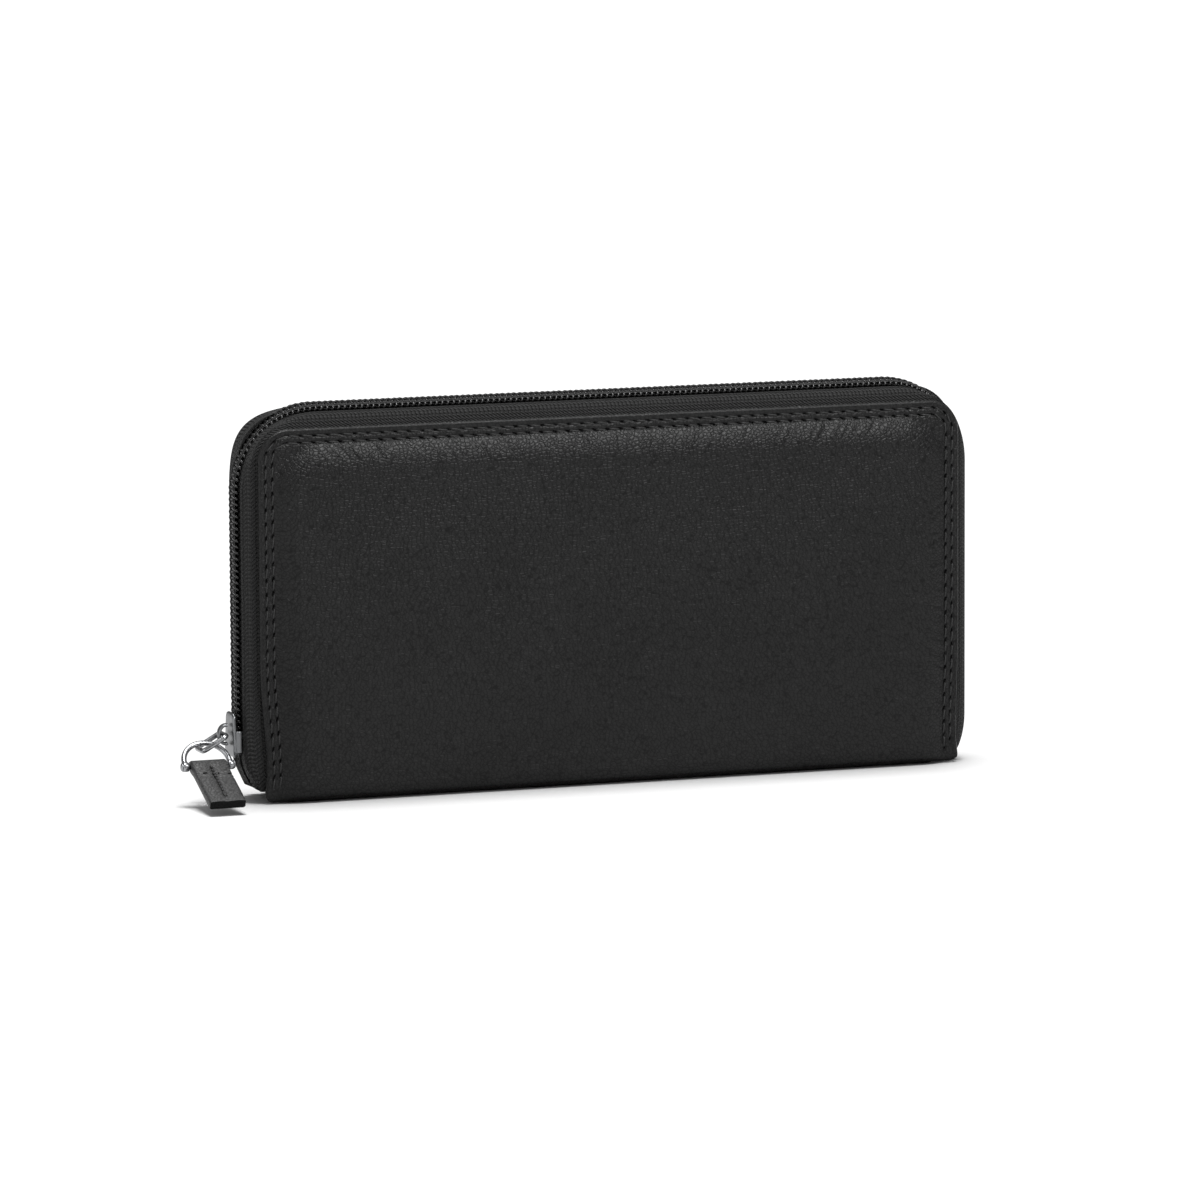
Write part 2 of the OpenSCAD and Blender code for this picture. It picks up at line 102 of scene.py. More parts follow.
def tex(kind, scale, coord, out="Fac", **kw):
    """Output of a texture; a further value is that of an input or, if none has its name, of a setting."""
    n = make_node(coord, "Tex" + kind)
    feed(n, {"Vector": coord, "Scale": scale})
    for k, v in kw.items():
        if k in n.inputs:
            n.inputs[k].default_value = v
        else:
            setattr(n, k, v)
    return n.outputs[out]


def ramp(value, stops, between="LINEAR"):
    """Tones or colours over a value, from pairs of place and tone."""
    r = make_node(value, "ValToRGB")
    r.color_ramp.interpolation = between
    e = r.color_ramp.elements
    while len(e) < len(stops):
        e.new(0.5)
    for el, (at, c) in zip(e, stops):
        el.position = at
        el.color = (c, c, c, 1) if isinstance(c, (int, float)) else (*c, 1)
    feed(r, {"Fac": value})
    return r.outputs["Color"]


def bump(p, height, strength, distance, under=None):
    """Relief of a surface from a height, on top of another relief if there is one."""
    b = make_node(p, "Bump")
    feed(b, {"Height": height, "Strength": strength, "Distance": distance})
    if under is not None:
        feed(b, {"Normal": under})
    feed(p, {"Normal": b.outputs["Normal"]})
    return b.outputs["Normal"]


# Leather grain: how its cells are stretched and bent, and the slow waves of its surface
GRAIN_STRETCH = (0.88, 1.0, 1.05)
GRAIN_WARP, WARP_SCALE = 0.0007, 260
SLOW_SCALE, SLOW_DEPTH = 38, 0.0006


def leather(name, dark, light, cell, rough, depth, spec):
    """Pebbled leather: rounded cells with creases between them, painted shade that darkens the creases, and
    slow tone changes.
    """
    m, p = material(name)
    c = coords(p)
    warp = tex("Noise", WARP_SCALE, c, "Color", Detail=3.0)
    stretched = calc("VectorMath", "MULTIPLY", c, GRAIN_STRETCH)
    bent = calc("VectorMath", "MULTIPLY_ADD", warp, (GRAIN_WARP, GRAIN_WARP, GRAIN_WARP), stretched)
    cells = tex("Voronoi", cell, bent, "Distance", feature="DISTANCE_TO_EDGE")
    crease = ramp(cells, [(0.0, 0.0), (0.2, 0.7), (0.5, 1.0)], "EASE")
    fine = tex("Noise", cell * 1.8, c, Detail=3.0, Roughness=0.55)
    slow = tex("Noise", SLOW_SCALE, c, Detail=3.0)
    b1 = bump(p, fine, 0.6, depth * 0.8)
    b2 = bump(p, slow, 0.35, SLOW_DEPTH, b1)
    bump(p, crease, 0.85, depth, b2)
    tone = ramp(slow, [(0.3, dark), (0.7, light)])
    # Painted shade: the crease mask multiplies the base colour, darkening the creases
    shade = make_node(p, "Mix", data_type="RGBA", blend_type="MULTIPLY")
    feed(shade, {"Factor": 0.55, "A": tone, "B": crease})
    gloss = ramp(fine, [(0.3, rough - 0.07), (0.7, rough + 0.09)])
    # Painted shade on the reflection: the specular level drops in the creases
    shine = ramp(crease, [(0.0, spec * 0.68), (0.4, spec)])
    feed(p, {"Base Color": shade.outputs["Result"], "Roughness": gloss, "Specular IOR Level": shine})
    return m


# Zip tape: width and slant of one run of ribs, and their height
TWILL_WIDTH, TWILL_SLANT, RIB_DEPTH = 1.6, 0.9, 0.0004


def woven(name, dark, light, u_scale, v_scale, rough):
    """Twill tape from the piece's own u and v in millimetres: fine slanted ribs that change direction."""
    m, p = material(name)
    uv = coords(p, "UV")
    sep = make_node(p, "SeparateXYZ")
    feed(sep, {0: uv})
    zig = calc("Math", "PINGPONG", sep.outputs["Y"], TWILL_WIDTH)
    slanted = calc("Math", "MULTIPLY_ADD", zig, TWILL_SLANT, sep.outputs["X"])
    comb = make_node(p, "CombineXYZ")
    feed(comb, {"X": slanted, "Y": sep.outputs["Y"]})
    rib = tex("Wave", u_scale, comb.outputs[0], bands_direction="X", Distortion=2.6, Detail=3.0)
    warp = tex("Wave", v_scale, uv, bands_direction="Y", Distortion=1.6, Detail=3.0)
    fuzz = tex("Noise", 9, uv, Detail=4.0)
    weave = calc("Math", "MULTIPLY_ADD", rib, warp, 0.0)
    b1 = bump(p, fuzz, 0.3, 0.0001)
    b2 = bump(p, rib, 0.8, RIB_DEPTH, b1)
    bump(p, weave, 0.8, RIB_DEPTH, b2)
    tone = ramp(weave, [(0.02, dark), (0.55, light)])
    feed(p, {"Base Color": tone, "Roughness": rough, "Specular IOR Level": 0.35, "Sheen Weight": 0.03,
             "Sheen Roughness": 0.5})
    return m


def cloth(name, dark, light, scale):
    """Plain weave of two crossing sets of threads."""
    m, p = material(name)
    c = coords(p)
    a = tex("Wave", scale, c, bands_direction="X", Distortion=0.4)
    b = tex("Wave", scale, c, bands_direction="Z", Distortion=0.4)
    bump(p, calc("Math", "ADD", a, b), 0.4, 0.0001)
    tone = ramp(a, [(0.2, dark), (0.8, light)])
    feed(p, {"Base Color": tone, "Roughness": 0.85, "Sheen Weight": 0.2})
    return m


def nylon(name, dark, light):
    """Smooth moulded thread of the coils."""
    m, p = material(name)
    n = tex("Noise", 900, coords(p), Detail=3.0)
    tone = ramp(n, [(0.3, dark), (0.7, light)])
    feed(p, {"Base Color": tone, "Roughness": ramp(n, [(0.3, 0.2), (0.7, 0.32)])})
    bump(p, n, 0.1, 0.00005)
    return m


def thread(name, dark, light):
    """Twisted sewing thread."""
    m, p = material(name)
    w = tex("Wave", 900, coords(p), bands_direction="DIAGONAL", Distortion=1.0)
    feed(p, {"Base Color": ramp(w, [(0.2, dark), (0.8, light)]), "Roughness": 0.6})
    bump(p, w, 0.5, 0.0001)
    return m


def metal(name, tint, rough):
    """Plated metal with a faint unevenness of gloss and tone."""
    m, p = material(name)
    n = tex("Noise", 420, coords(p), Detail=5.0)
    gloss = ramp(n, [(0.35, rough), (0.7, rough + 0.12)])
    tone = ramp(n, [(0.3, tuple(v * 0.86 for v in tint)), (0.7, tint)])
    feed(p, {"Base Color": tone, "Roughness": gloss, "Metallic": 1.0})
    bump(p, n, 0.06, 0.00008)
    return m


M_LEATHER = leather("black_pebbled_leather", 0.004, 0.0065, 1100, 0.4, 0.000085, 0.245)
# Painted highlight: a lighter leather for the band along the turned edge's bead
M_EDGE_HIGHLIGHT = leather("turned_edge_painted_highlight", 0.005, 0.008, 1400, 0.42, 0.00005, 0.24)
M_INNER = leather("smooth_inner_leather", 0.008, 0.012, 1900, 0.5, 0.00006, 0.3)
M_TAB = leather("pull_tab_leather", 0.036, 0.05, 1300, 0.45, 0.00008, 0.3)
# Painted shade: a dark leather for the tab's cut end face
M_TAB_END_SHADE = leather("tab_end_painted_shade", 0.004, 0.007, 2500, 0.7, 0.00012, 0.1)
M_TAPE = woven("woven_zip_tape", 0.001, 0.011, 0.3, 0.42, 0.75)
M_LINING = cloth("lining_weave", 0.012, 0.02, 500)
M_GUSSET = cloth("gusset_weave", 0.014, 0.024, 420)
M_PAD = cloth("foam_padding", 0.1, 0.14, 300)
M_BOARD = cloth("stiffener_board", 0.2, 0.24, 260)
M_COIL = nylon("black_nylon_coil", 0.004, 0.008)
M_THREAD = thread("black_thread", 0.003, 0.006)
M_SEAM = thread("waxed_seam_thread", 0.004, 0.008)
# Painted shade: a darker, duller leather for the faces down in the needle holes
M_HOLE_SHADE = leather("needle_hole_painted_shade", 0.0015, 0.003, 2500, 0.8, 0.0001, 0.03)
M_SILVER = metal("bright_nickel", (0.32, 0.325, 0.335), 0.24)
M_PIN = metal("nickel_pin", (0.3, 0.305, 0.315), 0.28)
M_SLIDER = metal("cast_nickel", (0.2, 0.204, 0.21), 0.3)


# Mesh helpers
def put(name, data):
    """A new object in the scene."""
    o = bpy.data.objects.new(name, data)
    bpy.context.scene.collection.objects.link(o)
    return o


def add_mesh(name, verts, faces, mat, body=None, nodes=(), slot=None, uv=None, outward=True):
    """A smooth-shaded piece from points in millimetres, riding on a body and standing for CAD nodes."""
    me = bpy.data.meshes.new(name)
    me.from_pydata((np.asarray(verts, float) * MM).tolist(), [], faces)
    me.update()
    if outward:
        bm = bmesh.new()
        bm.from_mesh(me)
        bmesh.ops.recalc_face_normals(bm, faces=bm.faces)
        bm.to_mesh(me)
        bm.free()
    if uv is not None:
        layer = me.uv_layers.new(name="UVMap")
        idx = np.empty(len(me.loops), np.int32)
        me.loops.foreach_get("vertex_index", idx)
        layer.data.foreach_set("uv", np.asarray(uv, np.float32)[idx].ravel())
    me.polygons.foreach_set("use_smooth", [True] * len(me.polygons))
    me.materials.append(mat)
    o = put(name, me)
    if body:
        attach(o, body)
    if nodes:
        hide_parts(*nodes)
    return o


def grid_faces(rows, cols, close_rows=False, close_cols=False):
    """Faces between neighbours in a grid of points, which may close on itself either way."""
    out = []
    for i in range(rows if close_rows else rows - 1):
        k = (i + 1) % rows
        for j in range(cols if close_cols else cols - 1):
            n = (j + 1) % cols
            out.append((i * cols + j, i * cols + n, k * cols + n, k * cols + j))
    return out


def capped(rows, n):
    """Faces of a closed piece from rings of equal count, with a cap on its first and last ring."""
    last = (rows - 1) * n
    return grid_faces(rows, n, close_cols=True) + [tuple(range(n)), tuple(last + i for i in range(n))]


def merge(parts):
    """One set of points and faces from several."""
    verts, faces = [], []
    for v, f in parts:
        base = len(verts)
        verts.extend(v)
        faces.extend(tuple(base + i for i in q) for q in f)
    return verts, faces


def smooth(t):
    """An S-shaped step from 0 to 1."""
    t = np.clip(t, 0, 1)
    return t * t * (3 - 2 * t)


def lengths(p):
    """Distance along a line at each of its points."""
    return np.r_[0, np.cumsum(np.linalg.norm(np.diff(p, axis=0), axis=1))]


def run_points(a, b, n):
    """Points on a straight line from a up to, not including, b."""
    shares = np.linspace(0, 1, n, endpoint=False)
    return [(a[0] + t * (b[0] - a[0]), a[1] + t * (b[1] - a[1])) for t in shares]


def arc_points(cx, cz, r, a0, a1, n, whole=False):
    """Points on an arc between two angles in degrees, without the last one unless it is whole."""
    angles = np.radians(np.linspace(a0, a1, n, endpoint=whole))
    return [(cx + r * cos(t), cz + r * sin(t)) for t in angles]


def u_line(hw, top, r, z0, z1=None, nl=64, na=26, nt=130):
    """Points and outward normals of a line up the left side, over the top and down the right side."""
    z1 = z0 if z1 is None else z1
    p = run_points((-hw, z0), (-hw, top - r), nl) + arc_points(-hw + r, top - r, r, 180, 90, na)
    p += run_points((-hw + r, top), (hw - r, top), nt) + arc_points(hw - r, top - r, r, 90, 0, na)
    p += run_points((hw, top - r), (hw, z1), nl - 1) + [(hw, z1)]
    n = [(-1, 0)] * nl + arc_points(0, 0, 1, 180, 90, na) + [(0, 1)] * nt
    n += arc_points(0, 0, 1, 90, 0, na) + [(1, 0)] * nl
    return np.array(p), np.array(n)


def along(p, n, start, step, end_gap=0.0):
    """Places at equal steps along a line: point, outward normal, direction."""
    d = lengths(p)
    out = []
    for s in np.arange(start, d[-1] - end_gap, step):
        i = min(int(np.searchsorted(d, s, side="right")) - 1, len(p) - 2)
        f = (s - d[i]) / max(d[i + 1] - d[i], 1e-9)
        m = n[i] * (1 - f) + n[i + 1] * f
        t = (p[i + 1] - p[i]) / max(np.linalg.norm(p[i + 1] - p[i]), 1e-9)
        out.append((p[i] * (1 - f) + p[i + 1] * f, m / np.linalg.norm(m), t))
    return out


def tube(path, radius, sides=10, closed=False, flat=1.0, up=None):
    """A round wire along 3-D points; radius is a number or one per point, flat narrows it across up."""
    path = np.asarray(path, float)
    k = len(path)
    rad = np.full(k, radius) if np.isscalar(radius) else np.asarray(radius, float)
    if closed:
        tang = np.roll(path, -1, axis=0) - np.roll(path, 1, axis=0)
    else:
        tang = np.gradient(path, axis=0)
    tang /= np.linalg.norm(tang, axis=1)[:, None] + 1e-12
    ref = np.array([0.0, 0.0, 1.0]) if up is None else np.asarray(up, float)
    if up is None and abs(tang[0] @ ref) > 0.9:
        ref = np.array([1.0, 0.0, 0.0])
    u = np.cross(tang[0], ref)
    u /= np.linalg.norm(u)
    verts = []
    for i in range(k):
        u = u - tang[i] * (u @ tang[i])
        u /= np.linalg.norm(u)
        w = np.cross(tang[i], u)
        for j in range(sides):
            a = 2 * pi * j / sides
            verts.append(path[i] + rad[i] * (cos(a) * u + flat * sin(a) * w))
    faces = grid_faces(k, sides, close_rows=closed, close_cols=True)
    if not closed:
        faces.append(tuple(range(sides)))
        faces.append(tuple((k - 1) * sides + j for j in reversed(range(sides))))
    return verts, faces


def capsule(a, b, r, sides=8):
    """A short thread between two points, thinner where it dips into the leather."""
    a, b = np.asarray(a, float), np.asarray(b, float)
    t = np.array([0, 0.06, 0.2, 0.5, 0.8, 0.94, 1.0])
    w = np.array([0.35, 0.75, 0.98, 1.0, 0.98, 0.75, 0.35])
    return tube(a + (b - a) * t[:, None], r * w, sides)


def outline(x0, x1, z0, z1, rt, rb, nx, nz, nt, nb):
    """Closed outline of a rectangle with round corners, from its left side on. rt and rb are the radii at the
    top and at the foot. The rest are counts of points along x and z and on a corner at the top and foot."""
    p = run_points((x0, z0 + rb), (x0, z1 - rt), nz) + arc_points(x0 + rt, z1 - rt, rt, 180, 90, nt)
    p += run_points((x0 + rt, z1), (x1 - rt, z1), nx) + arc_points(x1 - rt, z1 - rt, rt, 90, 0, nt)
    p += run_points((x1, z1 - rt), (x1, z0 + rb), nz) + arc_points(x1 - rb, z0 + rb, rb, 0, -90, nb)
    return p + run_points((x1 - rb, z0), (x0 + rb, z0), nx) + arc_points(x0 + rb, z0 + rb, rb, 270, 180, nb)


def ring_points(x0, x1, z0, z1, rt, rb, d, step):
    """The outline of a plate drawn in by d. The count of points stays the same."""
    nx, nz, nc = max(int((x1 - x0) / step), 4), max(int((z1 - z0) / step), 4), 7
    rt, rb = max(rt - d, 0.05), max(rb - d, 0.05)
    return outline(x0 + d, x1 - d, z0 + d, z1 - d, rt, rb, nx, nz, nc, nc)


CREASE_IN = 1.4


def plate_parts(box, h0, h1, r=(1.0, 1.0), crease=0.0, step=2.5, bow=None, edge=0.22, place=None):
    """A soft-edged flat piece: box is (u0, u1, v0, v1), h0 and h1 its two faces, and place turns
    (u, v, h) into a point. A crease runs round both faces, CREASE_IN from the edge."""
    half = min(box[1] - box[0], box[3] - box[2]) / 2
    edge = min(edge, abs(h1 - h0) / 2)
    insets = [0, 0.3 * edge, edge, 0.8, 1.15, CREASE_IN, 1.65, 2.2, 4, 8, 14, 21, 29, 37]
    insets = [d for d in insets if d < half - 0.2] + [half - 0.15]
    place = place or (lambda u, v, h: (u, h, v))
    sign = 1 if h1 > h0 else -1

    def drop(d):
        """How far a face falls back at a distance from the edge."""
        t = min(d / edge, 1.0)
        dip = crease * exp(-((d - CREASE_IN) / 0.22) ** 2)
        return edge * (1 - sqrt(max(1 - (1 - t) ** 2, 0))) + dip

    verts, uv = [], []
    for d, h, s in [(d, h0, sign) for d in reversed(insets)] + [(d, h1, -sign) for d in insets]:
        for u, v in ring_points(*box, *r, d, step):
            w = bow(u, v) if bow else 0.0
            verts.append(place(u, v, h + s * drop(d) + w))
            uv.append((u, v))
    rows = 2 * len(insets)
    return verts, capped(rows, len(verts) // rows), uv


def block(box, h0, h1, r=0.3, step=0.8, edge=0.3, **kw):
    """Points and faces of a small plate with the same radius at all its corners."""
    return plate_parts(box, h0, h1, r=(r, r), step=step, edge=edge, **kw)[:2]


def plate(name, box, h0, h1, mat, body, nodes, slot, **kw):
    """A piece made of one such plate."""
    v, f, uv = plate_parts(box, h0, h1, **kw)
    return add_mesh(name, v, f, mat, body, nodes, slot, uv)


# Covers
COVER_FOOT_Z = 0.4
# How far a cover's sides are drawn in at the left and right, from which height and over what run
DRAW_LEFT, DRAW_RIGHT, DRAW_TOP, DRAW_RUN = 1.4, 0.5, 34, 26
FLARE, FLARE_TOP = 0.6, 7
PAD_START, PAD_RUN, PAD_EASE = 4.0, 6.4, 1.7
CROWN, CROWN_START, CROWN_RUN, FOOT_ROLL = 0.28, 8, 28, 4.0
FRONT_FOOT_R, BACK_FOOT_R = 2.4, 6.0
RIDGE_R = 16.0
EDGE_DROP, EDGE_ROLL = 0.6, 0.5
BEAD_H, BEAD_W = 0.08, 0.2
GROOVE_D, GROOVE_W = 0.16, 0.42
UNDER_D, UNDER_RUN = 0.9, 2.0
SLANT, STITCH_R, STITCH_SUNK, HOLE_GAP = 0.33, 0.21, 0.1, 0.45
PIT_DEPTH, PIT_LONG, PIT_WIDE = 0.36, 0.9, 0.24
# Puckers along the seam: wavelength, phase and share of the height
PUCKER_H, DENT_H = 0.05, 0.06
PUCKERS = ((1.73, 2.2, 0.55), (2.3, 0.4, 0.85), (3.1, 1.9, 0.8), (4.3, 4.0, 0.8), (6.7, 2.6, 1.0),
           (11.0, 0.9, 0.9))
# Distances from the edge at which the covers have a ring of points
INSETS = [0, 0.1, 0.22, 0.35, 0.5, 0.7, 1.0, 1.25, 1.45, 1.65, 1.85, 2.05, 2.25, 2.5, 2.8, 3.05, 3.25,
          3.45, 3.65, 3.85, 4.1, 4.4, 4.8, 5.3, 5.8, 6.4, 7.0, 7.7, 8.4, 9.2, 10, 10.6, 11.2, 11.8, 12.4,
          13.2, 14.2, 16, 18.5, 22, 27, 33, 39, 44]
PAD_INSETS = [d for d in INSETS if d > 6]


def draw_in(x, z):
    """How far the sides of a cover are drawn in towards the spine, more at the pull's end."""
    drawn = np.where(x < 0, DRAW_LEFT, DRAW_RIGHT) * smooth((DRAW_TOP - z) / DRAW_RUN)
    return drawn - FLARE * smooth((FLARE_TOP - z) / FLARE_TOP)


def contour(d, foot_r, nl=210, nc=18, nt=420, nb=12):
    """Closed outline of a cover drawn in by d, with each point's distance from the sewn sides, from the foot
    and from the line where the padding starts to rise, which turns the corners in a wider arc."""
    hw, top, low = HALF_W - d, COVER_H - d, COVER_FOOT_Z + d
    rt, rb = max(COVER_R - d, 3.0), max(foot_r - d, 0.5)
    p = np.array(outline(-hw, hw, low, top, rt, rb, nt, nl, nc, nb))
    sewn = 2 * (nl + nc) + nt
    from_side = np.full(len(p), float(d))
    from_side[sewn:] = HALF_W - np.abs(p[sewn:, 0])
    from_foot = p[:, 1] - COVER_FOOT_Z
    across = np.maximum(RIDGE_R - (HALF_W - np.abs(p[:, 0])), 0)
    along_z = np.maximum(RIDGE_R - (COVER_H - p[:, 1]), 0)
    corner = (across > 0) & (along_z > 0)
    ridge = np.where(corner, RIDGE_R - np.hypot(across, along_z), from_side)
    p[:, 0] *= 1 - draw_in(p[:, 0], p[:, 1]) / HALF_W
    return p, from_side, from_foot, ridge


def seam_places():
    """Middle of every stitch of both rows, with the slanted direction that it lies in."""
    out = []
    for row, shift in zip(ROWS, (0.0, 0.5)):
        p, nrm = u_line(HALF_W - row, COVER_H - row, COVER_R - row, 4.0, None, 60, 14, 120)
        p[:, 0] *= 1 - draw_in(p[:, 0], p[:, 1]) / HALF_W
        out += [(q, t) for q, _, t in along(p, nrm, 1.0 + shift, STITCH_PITCH, 1.0)]
    return out


def needle_pits(p, from_side):
    """Depth at each point of the holes that the stitches pull into the leather, from 0 to 1."""
    depth = np.zeros(len(p))
    near = np.abs(from_side[:, None] - np.array(ROWS)[None, :]).min(axis=1) < PIT_LONG
    if not near.any():
        return depth
    q = p[near]
    for c, t in SEAM:
        c = c + t * STITCH_PITCH / 2
        run = np.array([t[0] + SLANT * t[1], t[1] - SLANT * t[0]])
        run /= np.linalg.norm(run)
        g = q - c
        far = np.abs(g).max(axis=1) > 2
        a = g @ run
        b = g @ np.array([-run[1], run[0]])
        k = np.exp(-(a / PIT_LONG) ** 4 - (b / PIT_WIDE) ** 2)
        k[far] = 0
        depth[near] = np.maximum(depth[near], k)
    return depth


def swell(ridge, from_foot):
    """Rise of the padded field over the stitched rim; at the foot the leather rolls under to the spine."""
    roll = np.sqrt(1 - (1 - np.clip(from_foot / FOOT_ROLL, 0, 1)) ** 2)
    crown = smooth((np.minimum(ridge, from_foot) - CROWN_START) / CROWN_RUN)
    rise = 1 - (1 - np.clip((ridge - PAD_START) / PAD_RUN, 0, 1)) ** PAD_EASE
    return (PAD_RISE - CROWN) * rise * roll + CROWN * crown


def outer_y(from_side, from_foot, ridge):
    """Outer face of a cover: a rolled edge with a bead, two sewn grooves and the padded field."""
    edge = -EDGE_DROP * (1 - np.clip(from_side / EDGE_ROLL, 0, 1)) ** 2
    bead = BEAD_H * np.exp(-((from_side - EDGE_ROLL) / BEAD_W) ** 2)
    seam = GROOVE_D * sum(np.exp(-((from_side - r) / GROOVE_W) ** 2) for r in ROWS)
    under = -UNDER_D * (1 - np.clip(from_foot / UNDER_RUN, 0, 1)) ** 2
    return RIM_Y + edge + bead - seam + under + swell(ridge, from_foot)


def folds(p, from_side, from_foot, run):
    """Small puckers that run from the seam up the padding, and slow dents in the field."""
    pucker = sum(a * np.sin(2 * pi * run / w + k) for w, k, a in PUCKERS)
    pucker *= 0.75 + 0.4 * np.sin(run / 7.3) * np.sin(run / 17 + 1.0)
    x, z = p[:, 0], p[:, 1]
    dent = np.sin(x / 9.5 + 0.6 * np.sin(z / 13)) * np.sin(z / 7.3 + 0.02 * x + 0.8)
    dent += 0.8 * np.sin(x / 23 - z / 17 + 1.0)
    sewn = np.exp(-((from_side - 6.2) / 2.6) ** 2) * smooth((from_foot - 4) / 8)
    sewn *= smooth((np.maximum(HALF_W - np.abs(x), COVER_H - z) - 11) / 12)
    field = smooth((np.minimum(from_side, from_foot) - 7) / 12)
    return PUCKER_H * pucker * sewn + DENT_H * dent * field


def inner_y(ridge, from_foot):
    """Inner face of a cover's leather, flat on the rim and lifted by the foam inside it."""
    return RIM_IN + swell(ridge - LEATHER_T, from_foot - LEATHER_T)


SEAM = seam_places()


def layered(rings):
    """Points and faces of a closed piece from rings of equal count."""
    return np.concatenate(rings), capped(len(rings), len(rings[0]))


def cover(side, half):
    """A cover of turned and sewn leather; side -1 is the front one, 1 the back one."""
    foot_r = FRONT_FOOT_R if side < 0 else BACK_FOOT_R
    rings, pits = [], []
    run = lengths(contour(0, foot_r)[0])
    for d in reversed(INSETS):
        p, _, foot, ridge = contour(max(d, 0.12), foot_r)
        rings.append(np.c_[p[:, 0], side * inner_y(ridge, foot), p[:, 1]])
        pits.append(np.zeros(len(p)))
    for d in INSETS:
        p, sides, foot, ridge = contour(d, foot_r)
        k = needle_pits(p, sides)
        y = outer_y(sides, foot, ridge) + folds(p, sides, foot, run) - PIT_DEPTH * k
        rings.append(np.c_[p[:, 0], side * y, p[:, 1]])
        pits.append(k)
    o = add_mesh(half + "_cover_leather", *layered(rings), M_LEATHER, half + "_half", (half + "_cover",),
                 "black_leather")
    o.data.materials.append(M_EDGE_HIGHLIGHT)
    o.data.materials.append(M_HOLE_SHADE)
    n, first = len(p), len(INSETS) - 1
    pits = np.concatenate(pits)
    for f in o.data.polygons:
        k = f.index // n
        # The band along the edge's bead takes the painted highlight
        if k in (first + 3, first + 4) and foot[f.index % n] > 1.5:
            f.material_index = 1
        # Faces deep in a needle hole take the painted shade
        elif len(f.vertices) == 4 and sum(pits[i] for i in f.vertices) > 2.2:
            f.material_index = 2


def pad(side, half):
    """Foam that fills the room between the leather and the board."""
    foot_r = FRONT_FOOT_R if side < 0 else BACK_FOOT_R
    rings = []
    for d in reversed(PAD_INSETS):
        p = contour(d, foot_r)[0]
        rings.append(np.c_[p[:, 0], np.full(len(p), side * RIM_IN), p[:, 1]])
    for d in PAD_INSETS:
        p, _, foot, ridge = contour(d, foot_r)
        y = np.maximum(inner_y(ridge, foot) - 0.05, RIM_IN + 0.02)
        rings.append(np.c_[p[:, 0], side * y, p[:, 1]])
    o = add_mesh(half + "_cover_foam", *layered(rings), M_PAD, half + "_half", (half + "_pad",), "foam")


def stitches(side, half):
    """Two rows of slanted stitches round the sides and top of a cover, which dip into their needle holes."""
    parts = []
    share = np.array([-1, -0.94, -0.8, -0.55, 0, 0.55, 0.8, 0.94, 1])
    dip = np.array([0.62, 0.4, 0.16, 0.03, 0, 0.03, 0.16, 0.4, 0.62])
    for q, t in SEAM:
        run = np.array([t[0] + SLANT * 0.4 * t[1], t[1] - SLANT * 0.4 * t[0]])
        path = q + share[:, None] * run * (STITCH_PITCH / 2 - HOLE_GAP)
        y = RIM_Y - STITCH_SUNK - dip
        parts.append(tube(np.c_[path[:, 0], side * y, path[:, 1]], STITCH_R, 8))
    add_mesh(half + "_cover_stitches", *merge(parts), M_SEAM, half + "_half", (half + "_stitching",),
             "thread")


# Zip
TUCK_R, TUCK_STOP, TUCK_NEAR = 9.5, 4.0, 1.2
FLANGE_IN = 6.9
SIDE_CREST, FRONT_TOP, BACK_TOP = 3.3, 3.6, 4.4
FRONT_GRIP, BACK_GRIP = 1.3, 3
COIL_R, COIL_STEPS, COIL_THREAD_R, COIL_END = 0.33, 12, 0.14, 0.6
# The spiral's middle and reach across the tape and out from it, and the two thread rows' places
COIL_ACROSS, COIL_OUT, THREAD_ROWS = (0.98, 1.45), (0.52, 0.45), ((1.35, 1.22), (2.1, 1.12))
LEAN_SLOPE, LEAN_DROP = 0.17, 0.42
SLIDER_L, SLIDER_W, SLIDER_R, SLIDER_T = 11.0, 8.4, 1.7, 0.9
SLIDER_Z = BAR_Z - SLIDER_L / 2
COIL_Z = SLIDER_Z + 5.0
STOP_Z, STOP_L = TAPE_Z + 0.6, 2.5
STOP_TOP = STOP_Z + STOP_L + 0.6
PLATE_IN = HALF_W + ZIP_SIDE + COIL_H + 0.35
PLATE_OUT = PLATE_IN + SLIDER_T
INNER_OUT = HALF_W + ZIP_SIDE - TAPE_T - 0.35
BAR_X = PLATE_OUT + 1.5


def chaikin(pts, times=2):
    """An open line of points with its corners rounded off."""
    pts = np.asarray(pts, float)
    for _ in range(times):
        a = 0.75 * pts[:-1] + 0.25 * pts[1:]
        b = 0.25 * pts[:-1] + 0.75 * pts[1:]
        mid = np.empty((2 * len(a), 2))
        mid[0::2], mid[1::2] = a, b
        pts = np.r_[pts[:1], mid, pts[-1:]]
    return pts


def tape_section():
    """Rise as a share of the zip's rise, with distance from the middle: the outer face, then the inner one.
    The tape leaves the cover's inside, stands up, crests and dips to the coil."""
    rise = [-2.2, -0.75, -0.2, 0.15, 0.45, 0.78, 0.96, 1.0, 0.97, 0.88, 0.86, 0.86]
    out = [RIM_IN - 0.04, RIM_IN - 0.04, 7.45, 7.0, 6.75, 6.3, 5.5, 4.7, 3.9, 3.3, 2.4, TAPE_EDGE]
    outer = chaikin(np.c_[rise, out])
    step = np.gradient(outer * (ZIP_SIDE, 1), axis=0)
    step /= np.linalg.norm(step, axis=1)[:, None]
    inner = outer + np.c_[step[:, 1] / ZIP_SIDE, -step[:, 0]] * TAPE_T
    return np.r_[outer, inner[::-1]]


def tucked(p, k):
    """The same line with both ends curled in towards the spine, furthest at the crest."""
    curl = np.radians(np.linspace(72, 6, 10))
    ends = []
    for far in (TUCK_R, TUCK_STOP):
        reach = TUCK_NEAR + (far - TUCK_NEAR) * np.clip(k, 0, 1) ** 3
        ends.append(np.c_[reach * (1 - np.cos(curl)), -TUCK_R * np.sin(curl)])
    return np.r_[p[0] + ends[0], p, p[-1] + ends[1][::-1] * (-1, 1)]


